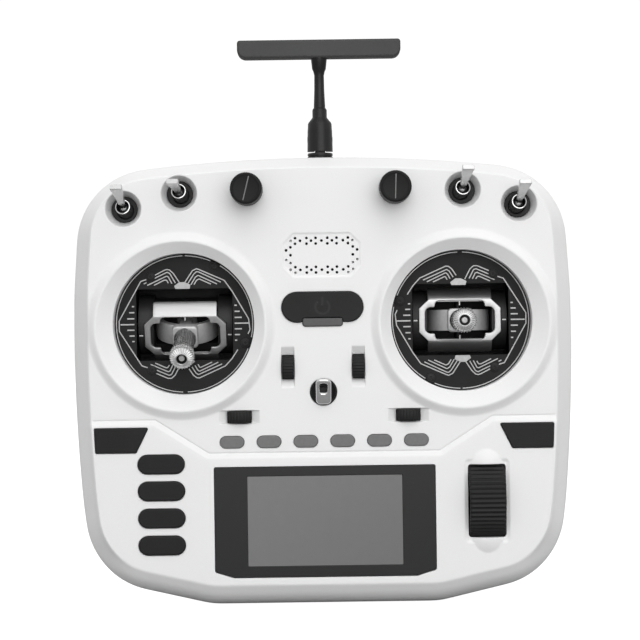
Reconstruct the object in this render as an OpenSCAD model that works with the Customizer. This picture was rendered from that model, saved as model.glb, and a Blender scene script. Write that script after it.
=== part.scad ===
// Handheld radio transmitter controller with two gimbal sticks.
// The radio stands upright on its flat bottom edge: X to the right, Y into the case, Z up.
// The origin is the centre of the bottom rest face; the operator looks along +Y.

/* [Case] */
// Height of the case above its rest face
case_h = 178.1; // [177:0.1:180]
// Half of the widest width
case_half_w = 99.5; // [99:0.1:100.5]
// Depth of the front face, measured forward from the middle plane
face_d = 20; // [19.5:0.5:21]
// Depth of the flat back, measured rearward from the middle plane
back_d = 22; // [22:0.5:24]
// Plane where the two shells meet
seam_y = 3; // [2:0.5:4]
// Thickness of the moulded walls
wall = 2.2; // [1.8:0.1:2.4]

/* [Gimbals] */
// Sideways distance of each gimbal from the middle
gimbal_x = 54.5; // [54:0.1:55]
// Height of the gimbal centres
gimbal_z = 112.2; // [112:0.1:113]
// Depth of the pivot point behind the middle plane
pivot_y = 2.5; // [2:0.5:3]
// Radius of the opening in the front shell
gimbal_open_r = 27.7; // [27.6:0.1:28]
// Radius from the pivot to the saddle's outer surface
saddle_r = 14.8; // [14.6:0.1:15]
// Length of a stick from its pivot to its tip
stick_len = 36.5; // [34:0.5:38]
// How far the throttle stick rests below its middle, in degrees
throttle_rest = 22; // [0:1:22]

/* [Toggle switches] */
// Length of a lever from its pivot to its tip
lever_len = 17.5; // [15:0.5:18]
// Swing of a lever to each side of its middle, in degrees
lever_throw = 15; // [10:1:15]
// Upward tilt of the switch axis, in degrees
switch_pitch = 12; // [8:1:14]
// Outward tilt of the switch axis, in degrees
switch_yaw = 6; // [0:1:8]

/* [Dials and wheel] */
// Diameter of the two dial knobs
dial_d = 12.6; // [11:0.1:13]
// Height of a dial knob above the face
dial_h = 12.5; // [10:0.5:14]
// Radius of the scroll wheel
wheel_r = 18.5; // [18.3:0.1:18.6]
// Depth of the wheel's axle behind the face
wheel_axle_h = 12.5; // [12.4:0.1:13]

/* [Display] */
// Half width of the display window
window_half_w = 43.2; // [42:0.1:43.5]
// Top edge of the display window
window_top = 55.9; // [55:0.1:56]
// Thickness of the display window
window_t = 1.6; // [1.4:0.1:1.8]

/* [Antenna] */
// Distance of the antenna behind the middle plane
antenna_y = 9; // [8.6:0.1:10]
// Height of the top of the antenna
antenna_top = 226.5; // [224:0.5:230]
// Width of the antenna's cross bar
antenna_w = 66.4; // [62:0.2:70]

/* [Hidden] */
$fn = 64;
eps = 0.05;

// Case outline: crown, top corner, side, bottom corner and foot arcs of the right half
foot_drop = 2.5;
crown_r = 650;
top_corner = [case_half_w - 32.2, case_h - 34.4, 30.7];
side_r = 750;
side_mid_z = 106;
low_corner = [case_half_w - 34.6, 36.3, 31];
foot_corner = [34.6, 20 - foot_drop, 20];
slant = -76.7;
crown_end = 83.76;
side_start = 1.5;
side_end = -5.56;

// Depth behind the widest plane, and how far the outline draws in there
front_profile = [[6, 0.8], [12, 2.7], [16, 4.7], [18.6, 6.5], [20, 7.8]];
rear_profile = [[8, 0.8], [13, 2.6], [17.5, 5.6], [20.5, 9], [22, 12.5]];
crown_lift = 0.16;

// Openings in the front shell
deck_h = 0.8;
button_gap = 0.3;
flange = 0.9;
trim_axis_h = -4;
trim_r = 6.2;
scoop_r = 12;
scoop_axis_h = 9.6;
power_z = 118.1;
power_w = 31.9;
power_h = 11.8;
light_z = 112.2;
light_w = 16;
light_h = 3.2;
function_x = [7.2, 21.6, 36.05];
function_z = 65.65;
function_size = [9.4, 4.6];
menu_x = -63.85;
menu_z = [57.4, 46.9, 36.3, 25.7];
menu_size = [18.3, 7.5];
dial_pos = [28.85, 164.1];
vertical_trim = [13.8, 94.7];
horizontal_trim = [33.1, 75.4];
eyelet_z = 84.85;
cup_r = 5.25;
wheel_pos = [63.4, 41.5];
wheel_w = 13.4;
wheel_slot = [14.7, 28.6];
speaker_pos = [0, 138.3];
page_switch_x = [-75, 79];
page_switch_z = 67;
grille_r = 0.55;

// Toggle wells and the middle of each switch ring, outer then inner
well_pos = [[77.4, 157.5], [55.5, 163.2]];
ring_pos = [[77.5, 158.3], [55.6, 164.1]];
well_r = 6.9;
well_floor_r = 5.15;
well_bore_r = 4.5;
well_d = 5.5;
ring_h = 1;
ring_to_pivot = 3;
bushing_r = 3.05;

// Gimbal parts, measured from the pivot
plate_front = face_d + pivot_y - 7;
plate_t = 1.5;
window_size = [38, 28.2];
housing_r = 27.3;
housing_back = -16;
trunnion_r = 2;
running = 0.05;
flat_z = 12.4;
stick_pin_r = 1.5;
drum_r = 12.6;
drum_w = 7.2;
plate_screws = [[-13.2, 18.8], [12.1, 22.7], [-13, -18.1], [23.9, -7.8]];

// Rear covers and fasteners
door_size = [74, 50];
door_z = 40;
cover_size = [62, 52];
cover_z = 118;
grip_pos = [71, 64];
grip_size = [38, 104];
grip_depth = 16;
screw_pos = [[42, 16], [42, 76], [24, 160]];
screw_head_r = 2.6;
screw_r = 1.5;
cell_r = 9.2;
cell_len = 65;

// ---------- plane shapes ----------

function arc_pts(c, d, a0, a1, n) =
    [for (i = [0:n]) let (a = a0 + (a1 - a0) * i / n)
        [c[0] + (c[2] - d) * cos(a), c[1] + (c[2] - d) * sin(a)]];

function half_outline(d) = concat(
    arc_pts([0, case_h - crown_r, crown_r], d, 90, crown_end, 5),
    arc_pts(top_corner, d, crown_end - 8, side_start + 4, 10),
    arc_pts([case_half_w - side_r, side_mid_z, side_r], d, side_start, side_end, 6),
    arc_pts(low_corner, d, side_end - 6, slant, 10),
    arc_pts(foot_corner, d, slant, -90, 2));

function full_outline(d) = let (h = half_outline(d), n = len(h) - 1)
    concat(h, [for (i = [n:-1:1]) [-h[i][0], h[i][1]]]);

module body_2d(inset) {
    polygon(full_outline(inset));
}

module stadium(w, h) {
    square([w - h, h], center = true);
    for (s = [-1, 1])
        translate([s * (w - h) / 2, 0])
            circle(d = h);
}

module rounded_rect(w, h, r) {
    square([w - 2 * r, h], center = true);
    square([w, h - 2 * r], center = true);
    for (i = [-1, 1], j = [-1, 1])
        translate([i * (w / 2 - r), j * (h / 2 - r)])
            circle(r);
}

// ---------- placing ----------

// A local frame on the face: x to the right, y up, z out towards the operator
module on_face(x, z, h = 0) {
    translate([x, -face_d - h, z])
        rotate([90, 0, 0])
            children();
}

// A local frame at a gimbal's pivot, with the same directions, tipped down by tilt
module at_gimbal(side, tilt = 0) {
    translate([side * gimbal_x, pivot_y, gimbal_z])
        rotate([90 + tilt, 0, 0])
            children();
}

// A local frame at a switch lever's pivot, with z along the switch axis
module at_switch(side, i, swing = 0) {
    translate([side * ring_pos[i][0], -face_d - ring_h, ring_pos[i][1]])
        rotate([90 - switch_pitch, 0, side * switch_yaw])
            translate([0, 0, -ring_to_pivot])
                rotate([swing, 0, 0])
                    children();
}

module slice(y, inset, lift) {
    translate([0, y, lift])
        rotate([90, 0, 0])
            linear_extrude(0.02)
                body_2d(inset);
}

module mirrored_x() {
    children();
    mirror([1, 0, 0])
        children();
}

// ---------- shells ----------

// Everything below the rest face, or below the floor inside
module foot_block(z) {
    translate([-60, -40, z - 20])
        cube([120, 80, 20]);
}

module front_body(t) {
    rear = seam_y + (t > 0 ? 1 : 0);
    hull() {
        translate([0, rear, 0])
            rotate([90, 0, 0])
                linear_extrude(rear)
                    body_2d(t);
        for (p = front_profile)
            slice(-p[0] * (face_d - t) / face_d, p[1] + t, p[1] * crown_lift);
    }
}

module rear_body(t) {
    front = seam_y + (t > 0 ? -1 : 0.12);
    hull() {
        slice(front, t, 0);
        for (p = rear_profile)
            slice(p[0] * (back_d - t) / 22, p[1] + t, p[1] * crown_lift);
    }
}

// One rearward grip, drawn in by t on the inside
module grip_body(t) {
    hull()
        for (p = [[0, 0], [0.5, 2.5], [0.8, 6.5], [1, 11]])
            translate([grip_pos[0], back_d - 5 + p[0] * (grip_depth + 5 - t), grip_pos[1]])
                rotate([90, 0, 0])
                    linear_extrude(0.02)
                        rounded_rect(grip_size[0] - 2 * (p[1] + t),
                            grip_size[1] - 2 * (p[1] + t), 18 - p[1] - t, $fn = 32);
}

// The lower deck's outline: everything below the stepped line
module deck_2d() {
    intersection() {
        body_2d(9.2);
        polygon([[-100, 0], [100, 0], [100, 74.2], [66, 74.2], [45.2, 60.9],
            [-45.2, 60.9], [-66, 74.2], [-100, 74.2]]);
    }
}

module window_2d(grow = 0) {
    w = window_half_w + grow;
    polygon([[w, window_top + grow], [w, 15 - grow], [w - 7.6, 12.65 - grow],
        [-w + 7.6, 12.65 - grow], [-w, 15 - grow], [-w, window_top + grow]]);
}

module page_key_2d(grow = 0) {
    polygon([[68.7 - grow * 1.4, 71.7 + grow], [89.8 + grow, 71.7 + grow],
        [89.4 + grow, 62 - grow], [73.6 - grow, 62 - grow]]);
}

// Raised funnel rim around a gimbal: radius and height above the face
module gimbal_rim() {
    r = gimbal_open_r;
    rotate_extrude($fn = 96)
        polygon([[r, -9.5], [r, -1.4], [r + 4.9, 2.1], [r + 5.5, 2.4], [r + 6.3, 2.1],
            [r + 8.8, 0.3], [r + 9.4, -1], [r + 2.4, -1], [r + 2.4, -9.5]]);
}

// Pairs of holes, single holes between the pairs, and three at each end
module grille_holes() {
    pair_x = [2.3, 5.9, 10.35];
    pair_z = [145.15, 142.95, 133.8, 131.6];
    single_x = [0, 4.1, 8.4];
    single_z = [144.1, 132.7];
    ends = [[12.2, 141.6], [13.9, 140.4], [12.2, 138.5]];
    mirrored_x() {
        for (x = pair_x, z = pair_z)
            translate([x, z])
                circle(grille_r);
        for (x = single_x, z = single_z)
            translate([x, z])
                circle(grille_r);
        for (p = ends)
            translate(p)
                circle(grille_r);
    }
}

module trim_opening(pos, turn) {
    for (s = [-1, 1])
        on_face(s * pos[0], pos[1])
            rotate([0, 0, turn]) {
                translate([0, 0, -6])
                    linear_extrude(7)
                        square([5.5, 11.4], center = true);
                translate([-2.75, 0, scoop_axis_h])
                    rotate([0, 90, 0])
                        cylinder(r = scoop_r, h = 5.5);
            }
}

module button_openings() {
    translate([0, -face_d + 6, 0])
        rotate([90, 0, 0])
            linear_extrude(8) {
                for (x = function_x)
                    mirrored_x()
                        translate([x, function_z])
                            stadium(function_size[0] + 2 * button_gap,
                                function_size[1] + 2 * button_gap);
                for (z = menu_z)
                    translate([menu_x, z])
                        stadium(menu_size[0] + 2 * button_gap,
                            menu_size[1] + 2 * button_gap);
                translate([0, power_z])
                    stadium(power_w + 2 * button_gap, power_h + 2 * button_gap);
                translate([0, light_z])
                    rounded_rect(light_w + 0.2, light_h + 0.2, 1.2);
                mirrored_x()
                    page_key_2d(button_gap);
                grille_holes();
            }
}

module wheel_opening() {
    on_face(wheel_pos[0], wheel_pos[1]) {
        translate([0, 0, -8])
            linear_extrude(12)
                rounded_rect(wheel_slot[0], wheel_slot[1], 1);
        translate([-wheel_slot[0] / 2, 0, -wheel_axle_h])
            rotate([0, 90, 0])
                cylinder(r = wheel_r + 0.5, h = wheel_slot[0]);
    }
}

module front_shell() {
    color("whitesmoke")
        difference() {
            union() {
                difference() {
                    front_body(0);
                    difference() {
                        front_body(wall);
                        foot_block(wall);
                    }
                }
                for (s = [-1, 1])
                    on_face(s * gimbal_x, gimbal_z)
                        gimbal_rim();
                on_face(0, 0, -0.4)
                    linear_extrude(deck_h + 0.4)
                        deck_2d();
                for (s = [-1, 1], i = [0, 1])
                    on_face(s * well_pos[i][0], well_pos[i][1])
                        translate([0, 0, -well_d - 1.6])
                            cylinder(r = well_r + 0.6, h = well_d + 0.6);
            }
            foot_block(0);
            for (s = [-1, 1])
                on_face(s * gimbal_x, gimbal_z)
                    translate([0, 0, -12])
                        cylinder(r = gimbal_open_r, h = 14, $fn = 96);
            for (s = [-1, 1], i = [0, 1])
                on_face(s * well_pos[i][0], well_pos[i][1]) {
                    translate([0, 0, -well_d])
                        cylinder(r1 = well_floor_r, r2 = well_r + 0.3, h = well_d + 0.9);
                    translate([0, 0, -well_d - 3])
                        cylinder(r = well_bore_r, h = 4);
                }
            for (s = [-1, 1])
                on_face(s * dial_pos[0], dial_pos[1])
                    translate([0, 0, -4])
                        cylinder(r = 4, h = 6);
            on_face(0, eyelet_z)
                translate([0, 0, -4])
                    cylinder(r = cup_r + 0.1, h = 6);
            trim_opening(vertical_trim, 0);
            trim_opening(horizontal_trim, 90);
            button_openings();
            wheel_opening();
            on_face(0, 0, 0.5 - window_t)
                linear_extrude(4)
                    window_2d(0.15);
            on_face(0, 34.6, -6)
                linear_extrude(10)
                    square([68, 38.6], center = true);
        }
}

module rear_shell() {
    color("whitesmoke")
        difference() {
            union() {
                rear_body(0);
                mirrored_x()
                    grip_body(0);
            }
            difference() {
                rear_body(wall);
                foot_block(wall);
            }
            mirrored_x()
                grip_body(wall);
            foot_block(0);
            // Battery and module openings
            translate([0, back_d + 2, door_z])
                rotate([90, 0, 0])
                    linear_extrude(6)
                        rounded_rect(door_size[0] - 6, door_size[1] - 8, 3);
            translate([0, back_d + 2, cover_z])
                rotate([90, 0, 0])
                    linear_extrude(6)
                        rounded_rect(cover_size[0] - 6, cover_size[1] - 6, 3);
            for (p = screw_pos, s = [-1, 1])
                translate([s * p[0], back_d + 2, p[1]])
                    rotate([90, 0, 0]) {
                        cylinder(r = screw_r + 0.15, h = 6);
                        cylinder(r = screw_head_r + 0.2, h = 3);
                    }
            translate([0, antenna_y, case_h - 12])
                cylinder(r = 4.55, h = 14);
        }
}

module grip_pads() {
    color("dimgray")
        mirrored_x()
            translate([grip_pos[0], back_d + grip_depth + 1.3, grip_pos[1]])
                rotate([90, 0, 0])
                    linear_extrude(1.25)
                        rounded_rect(grip_size[0] - 24, grip_size[1] - 24, 6);
}

module battery_door() {
    color("gainsboro")
        translate([0, back_d + 2.6, door_z])
            rotate([90, 0, 0])
                difference() {
                    linear_extrude(2.4)
                        rounded_rect(door_size[0], door_size[1], 5);
                    // Thumb grooves near the top edge
                    for (i = [0:3])
                        translate([-9, door_size[1] / 2 - 6 - 2.4 * i, -1])
                            cube([18, 1.2, 1.6]);
                }
}

module module_cover() {
    color("gainsboro")
        translate([0, back_d + 5, cover_z])
            rotate([90, 0, 0]) {
                linear_extrude(4.8)
                    rounded_rect(cover_size[0], cover_size[1], 6);
                translate([0, 0, 4])
                    linear_extrude(4)
                        rounded_rect(cover_size[0] - 7, cover_size[1] - 7, 2.5);
            }
}

module gimbal_screw_places() {
    for (s = [-1, 1])
        for (p = plate_screws)
            at_gimbal(s)
                rotate([0, 0, s > 0 ? 180 : 0])
                    translate([p[0], p[1], plate_front - plate_t])
                        children();
}

module screws() {
    color("dimgray") {
        for (p = screw_pos, s = [-1, 1])
            translate([s * p[0], back_d + 0.3, p[1]])
                rotate([90, 0, 0])
                    difference() {
                        union() {
                            cylinder(r = screw_head_r, h = 1.25);
                            cylinder(r = screw_r, h = 14);
                        }
                        translate([0, 0, -0.1])
                            cylinder(r = 1.2, h = 0.8, $fn = 6);
                    }
        gimbal_screw_places()
            difference() {
                translate([0, 0, -4])
                    cylinder(r = 1.15, h = 5.1);
                translate([0, 0, 0.6])
                    cylinder(r = 0.6, h = 1, $fn = 6);
            }
    }
}

// ---------- front fittings ----------

module power_light_bar() {
    color("gray")
        on_face(0, light_z, -3)
            linear_extrude(3.7)
                rounded_rect(light_w, light_h, 1.1);
}

module display_window() {
    color("black")
        on_face(0, 0, 0.5 - window_t + 0.05)
            linear_extrude(window_t)
                window_2d();
}

module lcd_module() {
    color("slategray")
        on_face(0, 34.6, -5.4)
            linear_extrude(4.1)
                square([66.6, 37.4], center = true);
}

module key_switch(x, z) {
    on_face(x, z, -8.1) {
        linear_extrude(1.9)
            square([5, 4.2], center = true);
        cylinder(r = 1.4, h = 2.8);
    }
}

module main_board() {
    color("darkgreen") {
        on_face(0, 0, -9.6)
            linear_extrude(1.6)
                difference() {
                    union() {
                        translate([-78, 16])
                            square([128, 54]);
                        translate([-22, 66])
                            square([44, 60]);
                    }
                    for (s = [-1, 1]) {
                        translate([s * vertical_trim[0], vertical_trim[1]])
                            square([7, 14], center = true);
                        translate([s * horizontal_trim[0], horizontal_trim[1]])
                            square([14, 7], center = true);
                    }
                }
        on_face(page_switch_x[1], page_switch_z, -9.6)
            linear_extrude(1.6)
                square([14, 10], center = true);
        for (x = function_x, s = [-1, 1])
            key_switch(s * x, function_z);
        for (z = menu_z)
            key_switch(menu_x, z);
        for (x = page_switch_x)
            key_switch(x, page_switch_z);
        key_switch(0, power_z + 1);
    }
}

module speaker() {
    color("black")
        on_face(speaker_pos[0], speaker_pos[1], -7.8) {
            linear_extrude(4.8)
                rounded_rect(31, 19, 4);
            translate([0, 0, -3])
                linear_extrude(3)
                    rounded_rect(16, 11, 2);
        }
}

module battery_cells() {
    color("steelblue")
        for (z = [31, 50])
            translate([-cell_len / 2, 10.4, z])
                rotate([0, 90, 0]) {
                    cylinder(r = cell_r, h = cell_len);
                    translate([0, 0, -0.8])
                        cylinder(r = 3, h = 1);
                }
}

module eyelet_cup() {
    color("black")
        on_face(0, eyelet_z, -4.4)
            difference() {
                cylinder(r = cup_r, h = 4.5);
                translate([0, 0, 0.8])
                    cylinder(r = cup_r - 0.6, h = 4);
            }
}

module strap_eyelet() {
    color("silver")
        on_face(0, eyelet_z, -3.55) {
            cylinder(r = 2.2, h = 5.6);
            translate([0, 0.2, 6.9])
                rotate([28, 0, 0])
                    translate([0, 0, -0.75])
                        linear_extrude(1.5)
                            difference() {
                                rounded_rect(6, 11, 1.8);
                                translate([0, 1.5])
                                    rounded_rect(2.9, 4.4, 0.8);
                            }
        }
}

// ---------- gimbals ----------

module gimbal_faceplates() {
    color("black")
        difference() {
            for (s = [-1, 1])
                at_gimbal(s)
                    translate([0, 0, plate_front - plate_t])
                        difference() {
                            cylinder(r = gimbal_open_r - 0.3, h = plate_t, $fn = 96);
                            translate([0, s * 0.3, -1])
                                linear_extrude(plate_t + 2)
                                    rounded_rect(window_size[0], window_size[1], 1);
                        }
            gimbal_screw_places()
                translate([0, 0, -1])
                    cylinder(r = 1.35, h = plate_t + 2);
        }
}

module gimbal_housings() {
    depth = plate_front - plate_t - housing_back;
    color("darkslategray")
        for (s = [-1, 1])
            at_gimbal(s)
                difference() {
                    translate([0, 0, housing_back])
                        cylinder(r = housing_r, h = depth - eps, $fn = 96);
                    translate([-20.6, -15.5, housing_back + 2])
                        cube([41.2, 31, depth]);
                    translate([-30, 0, 0])
                        rotate([0, 90, 0])
                            cylinder(r = 3.95, h = 60);
                    gimbal_screw_wells(s);
                }
}

// Clearance below the faceplate's screws
module gimbal_screw_wells(s) {
    for (p = plate_screws)
        rotate([0, 0, s > 0 ? 180 : 0])
            translate([p[0], p[1], plate_front - plate_t - 5])
                cylinder(r = 1.3, h = 6);
}

module gimbal_bearings() {
    color("silver")
        for (s = [-1, 1], e = [-1, 1])
            at_gimbal(s)
                translate([e > 0 ? 21 : -24, 0, 0])
                    rotate([0, 90, 0])
                        difference() {
                            cylinder(r = 3.9, h = 3);
                            translate([0, 0, -1])
                                cylinder(r = trunnion_r + running, h = 5);
                        }
}

module gimbal_springs() {
    color("silver")
        for (s = [-1, 1], e = [-1, 1])
            at_gimbal(s)
                translate([-9, e * 29.2, -4])
                    rotate([0, 90, 0]) {
                        cylinder(r = 1.6, h = 18);
                        for (k = [-2, 18])
                            translate([0, 0, k])
                                cylinder(r = 0.5, h = 2);
                    }
}

module gimbal_sensors() {
    color("darkgreen")
        for (s = [-1, 1])
            at_gimbal(s)
                translate([s * 28.2, 0, 0])
                    cube([1.4, 12, 10], center = true);
}

module yoke_frame(side, tilt) {
    color("black")
        at_gimbal(side, tilt)
            difference() {
                union() {
                    for (e = [-1, 1]) {
                        translate([e * 15.75 - 2.85, 0, 0])
                            rotate([0, 90, 0])
                                cylinder(r = 12, h = 5.7);
                        translate([-13.5, e * 8.7 - 1.5, -3])
                            cube([27, 3, 6]);
                    }
                    translate([-23.6, 0, 0])
                        rotate([0, 90, 0])
                            cylinder(r = trunnion_r, h = 47.2);
                }
                // Seat for the saddle's flat
                translate([-16.5, -15, flat_z - 1.5])
                    cube([33, 30, 5]);
                // Room for the stick block
                translate([-12.9, -7.2, -13])
                    cube([25.8, 14.4, 26]);
                rotate([90, 0, 0])
                    translate([0, 0, -15])
                        cylinder(r = stick_pin_r + running, h = 30);
            }
}

module saddle(side, tilt) {
    color("silver")
        at_gimbal(side, tilt)
            difference() {
                union() {
                    intersection() {
                        translate([-12.7, 0, 0])
                            rotate([0, 90, 0])
                                difference() {
                                    cylinder(r = saddle_r, h = 25.4);
                                    translate([0, 0, -1])
                                        cylinder(r = saddle_r - 1.5, h = 28);
                                }
                        translate([-20, -20, 7.4])
                            cube([40, 40, flat_z - 7.4]);
                    }
                    translate([0, 0, flat_z - 1.5])
                        linear_extrude(1.5)
                            polygon([[12.7, 8.1], [16.3, 4.7], [16.3, -4.7], [12.7, -8.1],
                                [-12.7, -8.1], [-16.3, -4.7], [-16.3, 4.7], [-12.7, 8.1]]);
                }
                translate([0, 0, 5])
                    linear_extrude(12) {
                        rounded_rect(27.6, 10.4, 2);
                        rounded_rect(19.8, 16.2, 2.2);
                    }
            }
}

module stick_block(side, tilt) {
    color("gray")
        at_gimbal(side, tilt) {
            rotate([90, 0, 0])
                translate([0, 0, -drum_w / 2])
                    difference() {
                        cylinder(r = drum_r, h = drum_w);
                        translate([0, 0, -1])
                            cylinder(r = drum_r - 2.2, h = drum_w + 2);
                        translate([-20, -35.3, -1])
                            cube([40, 40, drum_w + 2]);
                    }
            rotate([90, 0, 0])
                translate([0, 0, -drum_w / 2])
                    cylinder(r = 4, h = drum_w);
            translate([-2.5, -drum_w / 2, 2])
                cube([5, drum_w, drum_r - 3]);
            rotate([90, 0, 0])
                translate([0, 0, -9.8])
                    cylinder(r = stick_pin_r, h = 19.6);
            translate([0, 0, drum_r - 1.2])
                linear_extrude(3.2)
                    rounded_rect(8.4, 8, 1.2);
        }
}

// Knurled end: radius and distance from the pivot
module stick_end(side, tilt) {
    base = drum_r + 2.05;
    color("silver")
        at_gimbal(side, tilt)
            difference() {
                rotate_extrude()
                    polygon([[0, base], [4, base], [4, base + 1], [3.4, base + 1.6],
                        [3.7, stick_len - 7], [4.9, stick_len - 4.2], [5.1, stick_len - 1.2],
                        [4.5, stick_len - 0.2], [3.4, stick_len], [0, stick_len]]);
                translate([0, 0, stick_len - 1.6])
                    cylinder(r = 2.2, h = 3);
            }
}

module left_yoke_frame() { yoke_frame(-1, throttle_rest); }
module left_saddle() { saddle(-1, throttle_rest); }
module left_stick_block() { stick_block(-1, throttle_rest); }
module left_stick_end() { stick_end(-1, throttle_rest); }
module right_yoke_frame() { yoke_frame(1, 0); }
module right_saddle() { saddle(1, 0); }
module right_stick_block() { stick_block(1, 0); }
module right_stick_end() { stick_end(1, 0); }

// ---------- toggle switches ----------

module toggle_switches() {
    color("silver")
        for (s = [-1, 1], i = [0, 1])
            at_switch(s, i)
                difference() {
                    union() {
                        translate([0, 0, -8])
                            cylinder(r = bushing_r, h = 8 + ring_to_pivot);
                        translate([-6.5, -4, -18])
                            cube([13, 8, 10.2]);
                    }
                    translate([0, 0, -2.8])
                        cylinder(r = 2.5, h = 10);
                }
}

module toggle_discs() {
    color("black")
        difference() {
            for (s = [-1, 1], i = [0, 1])
                on_face(s * well_pos[i][0], well_pos[i][1], -well_d + eps)
                    cylinder(r = well_floor_r - 0.05, h = 0.6);
            for (s = [-1, 1], i = [0, 1])
                at_switch(s, i)
                    translate([0, 0, -9])
                        cylinder(r = bushing_r + 0.15, h = 12);
        }
}

module toggle_lever(side, i, swing) {
    color("silver")
        at_switch(side, i, swing) {
            sphere(r = 2.1, $fn = 32);
            rotate([0, 90, 0])
                cylinder(r = 1, h = 4.4, center = true);
            cylinder(r = 1.05, h = 5);
            translate([0, 0.95, 0])
                rotate([90, 0, 0])
                    linear_extrude(1.9)
                        polygon([[-1.05, 1.5], [1.05, 1.5], [1.25, 4.5],
                            [2.4, lever_len - 0.3], [2.1, lever_len],
                            [-2.1, lever_len], [-2.4, lever_len - 0.3], [-1.25, 4.5]]);
        }
}

module toggle_lever_1() { toggle_lever(-1, 0, -lever_throw); }
module toggle_lever_2() { toggle_lever(-1, 1, 0); }
module toggle_lever_3() { toggle_lever(1, 1, -lever_throw); }
module toggle_lever_4() { toggle_lever(1, 0, -lever_throw); }

// ---------- dials ----------

module dial_pots() {
    color("dimgray")
        for (s = [-1, 1])
            on_face(s * dial_pos[0], dial_pos[1])
                difference() {
                    union() {
                        translate([0, 0, -8])
                            cylinder(r = 3.6, h = 7.8);
                        translate([-5, -6, -13])
                            cube([10, 11, 5.5]);
                    }
                    translate([0, 0, -9])
                        cylinder(r = 1.5 + running, h = 12);
                }
}

module dial_knob(side) {
    r = dial_d / 2;
    color("black")
        on_face(side * dial_pos[0], dial_pos[1])
            rotate_extrude()
                polygon([[0, -7.6], [1.5, -7.6], [1.5, 0.8], [r - 0.3, 0.8], [r, 1.2],
                    [r, dial_h - 0.8], [r - 0.8, dial_h], [0, dial_h]]);
}

module left_dial_knob() { dial_knob(-1); }
module right_dial_knob() { dial_knob(1); }

// ---------- trims ----------

module trim_rocker(pos, side, turn) {
    color("black")
        on_face(side * pos[0], pos[1])
            rotate([0, 0, turn])
                translate([0, 0, trim_axis_h])
                    intersection() {
                        translate([-2.4, 0, 0])
                            rotate([0, 90, 0])
                                cylinder(r = trim_r, h = 4.8);
                        translate([-5, -4.7, -1.5])
                            cube([10, 9.4, 12]);
                    }
}

module left_vertical_trim() { trim_rocker(vertical_trim, -1, 0); }
module right_vertical_trim() { trim_rocker(vertical_trim, 1, 0); }
module left_horizontal_trim() { trim_rocker(horizontal_trim, -1, 90); }
module right_horizontal_trim() { trim_rocker(horizontal_trim, 1, 90); }

// ---------- buttons ----------

// A cap on a wider retaining flange; its foot stops just above the key switch
module button_cap(top, size) {
    color("dimgray") {
        translate([0, 0, -2.6])
            linear_extrude(2.6 + top)
                stadium(size[0], size[1]);
        translate([0, 0, -3.4])
            linear_extrude(0.9)
                stadium(size[0] + 2 * flange, size[1] + 2 * flange);
        translate([0, 0, -4.6])
            cylinder(r = 1.2, h = 2);
    }
}

module power_button() {
    color("black")
        on_face(0, power_z)
            difference() {
                union() {
                    translate([0, 0, -2.6])
                        linear_extrude(3.5)
                            stadium(power_w, power_h);
                    translate([0, 0, -3.4])
                        linear_extrude(0.9)
                            stadium(power_w + 2 * flange, power_h + 2 * flange);
                    translate([0, 1, -4.6])
                        cylinder(r = 1.2, h = 2);
                }
                translate([0, light_z - power_z, -6])
                    linear_extrude(8)
                        rounded_rect(light_w + 0.5, light_h + 0.5, 1.2);
            }
}

module function_button(i) {
    x = i < 3 ? -function_x[2 - i] : function_x[i - 3];
    on_face(x, function_z)
        button_cap(0.5, function_size);
}

module function_button_1() { function_button(0); }
module function_button_2() { function_button(1); }
module function_button_3() { function_button(2); }
module function_button_4() { function_button(3); }
module function_button_5() { function_button(4); }
module function_button_6() { function_button(5); }

module menu_button(i) {
    on_face(menu_x, menu_z[i])
        button_cap(deck_h + 0.7, menu_size);
}

module menu_button_1() { menu_button(0); }
module menu_button_2() { menu_button(1); }
module menu_button_3() { menu_button(2); }
module menu_button_4() { menu_button(3); }

module page_key() {
    color("black") {
        on_face(0, 0, -2.6)
            linear_extrude(2.6 + deck_h + 0.5)
                page_key_2d();
        on_face(0, 0, -3.4)
            linear_extrude(0.9)
                polygon([[69.5, 72.4], [88, 72.4], [88, 61.3], [74, 61.3]]);
    }
}

module key_foot(x) {
    on_face(x, page_switch_z, -4.6)
        cylinder(r = 1.2, h = 2);
}

module left_page_key() {
    color("black") {
        mirror([1, 0, 0])
            page_key();
        key_foot(page_switch_x[0]);
    }
}

module right_page_key() {
    color("black") {
        page_key();
        key_foot(page_switch_x[1]);
    }
}

// ---------- scroll wheel ----------

module wheel_carriage() {
    color("dimgray")
        on_face(wheel_pos[0], wheel_pos[1], -wheel_axle_h)
            difference() {
                union() {
                    for (e = [-1, 1])
                        translate([e * (wheel_w / 2 + 1.2) - 0.7, -5, -wheel_r - 2])
                            cube([1.4, 10, wheel_r + 5]);
                    translate([-wheel_w / 2 - 1.9, -5, -wheel_r - 2.2])
                        cube([wheel_w + 3.8, 10, 1.4]);
                }
                translate([-12, 0, 0])
                    rotate([0, 90, 0])
                        cylinder(r = 1.5 + running, h = 24);
            }
}

module scroll_wheel() {
    color("black")
        on_face(wheel_pos[0], wheel_pos[1], -wheel_axle_h)
            rotate([0, 90, 0]) {
                difference() {
                    translate([0, 0, -wheel_w / 2])
                        cylinder(r = wheel_r, h = wheel_w, $fn = 96);
                    for (e = [-1, 1])
                        translate([0, 0, e * wheel_w / 2])
                            difference() {
                                cylinder(r = wheel_r - 3, h = 3, center = true);
                                cylinder(r = 4, h = 4, center = true);
                            }
                }
                translate([0, 0, -wheel_w / 2 - 2])
                    cylinder(r = 1.5, h = wheel_w + 4);
            }
}

// ---------- antenna ----------

fold_z = case_h + 8.2;
base_bottom = case_h + 0.2;
base_top = case_h + 2.7;

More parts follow.
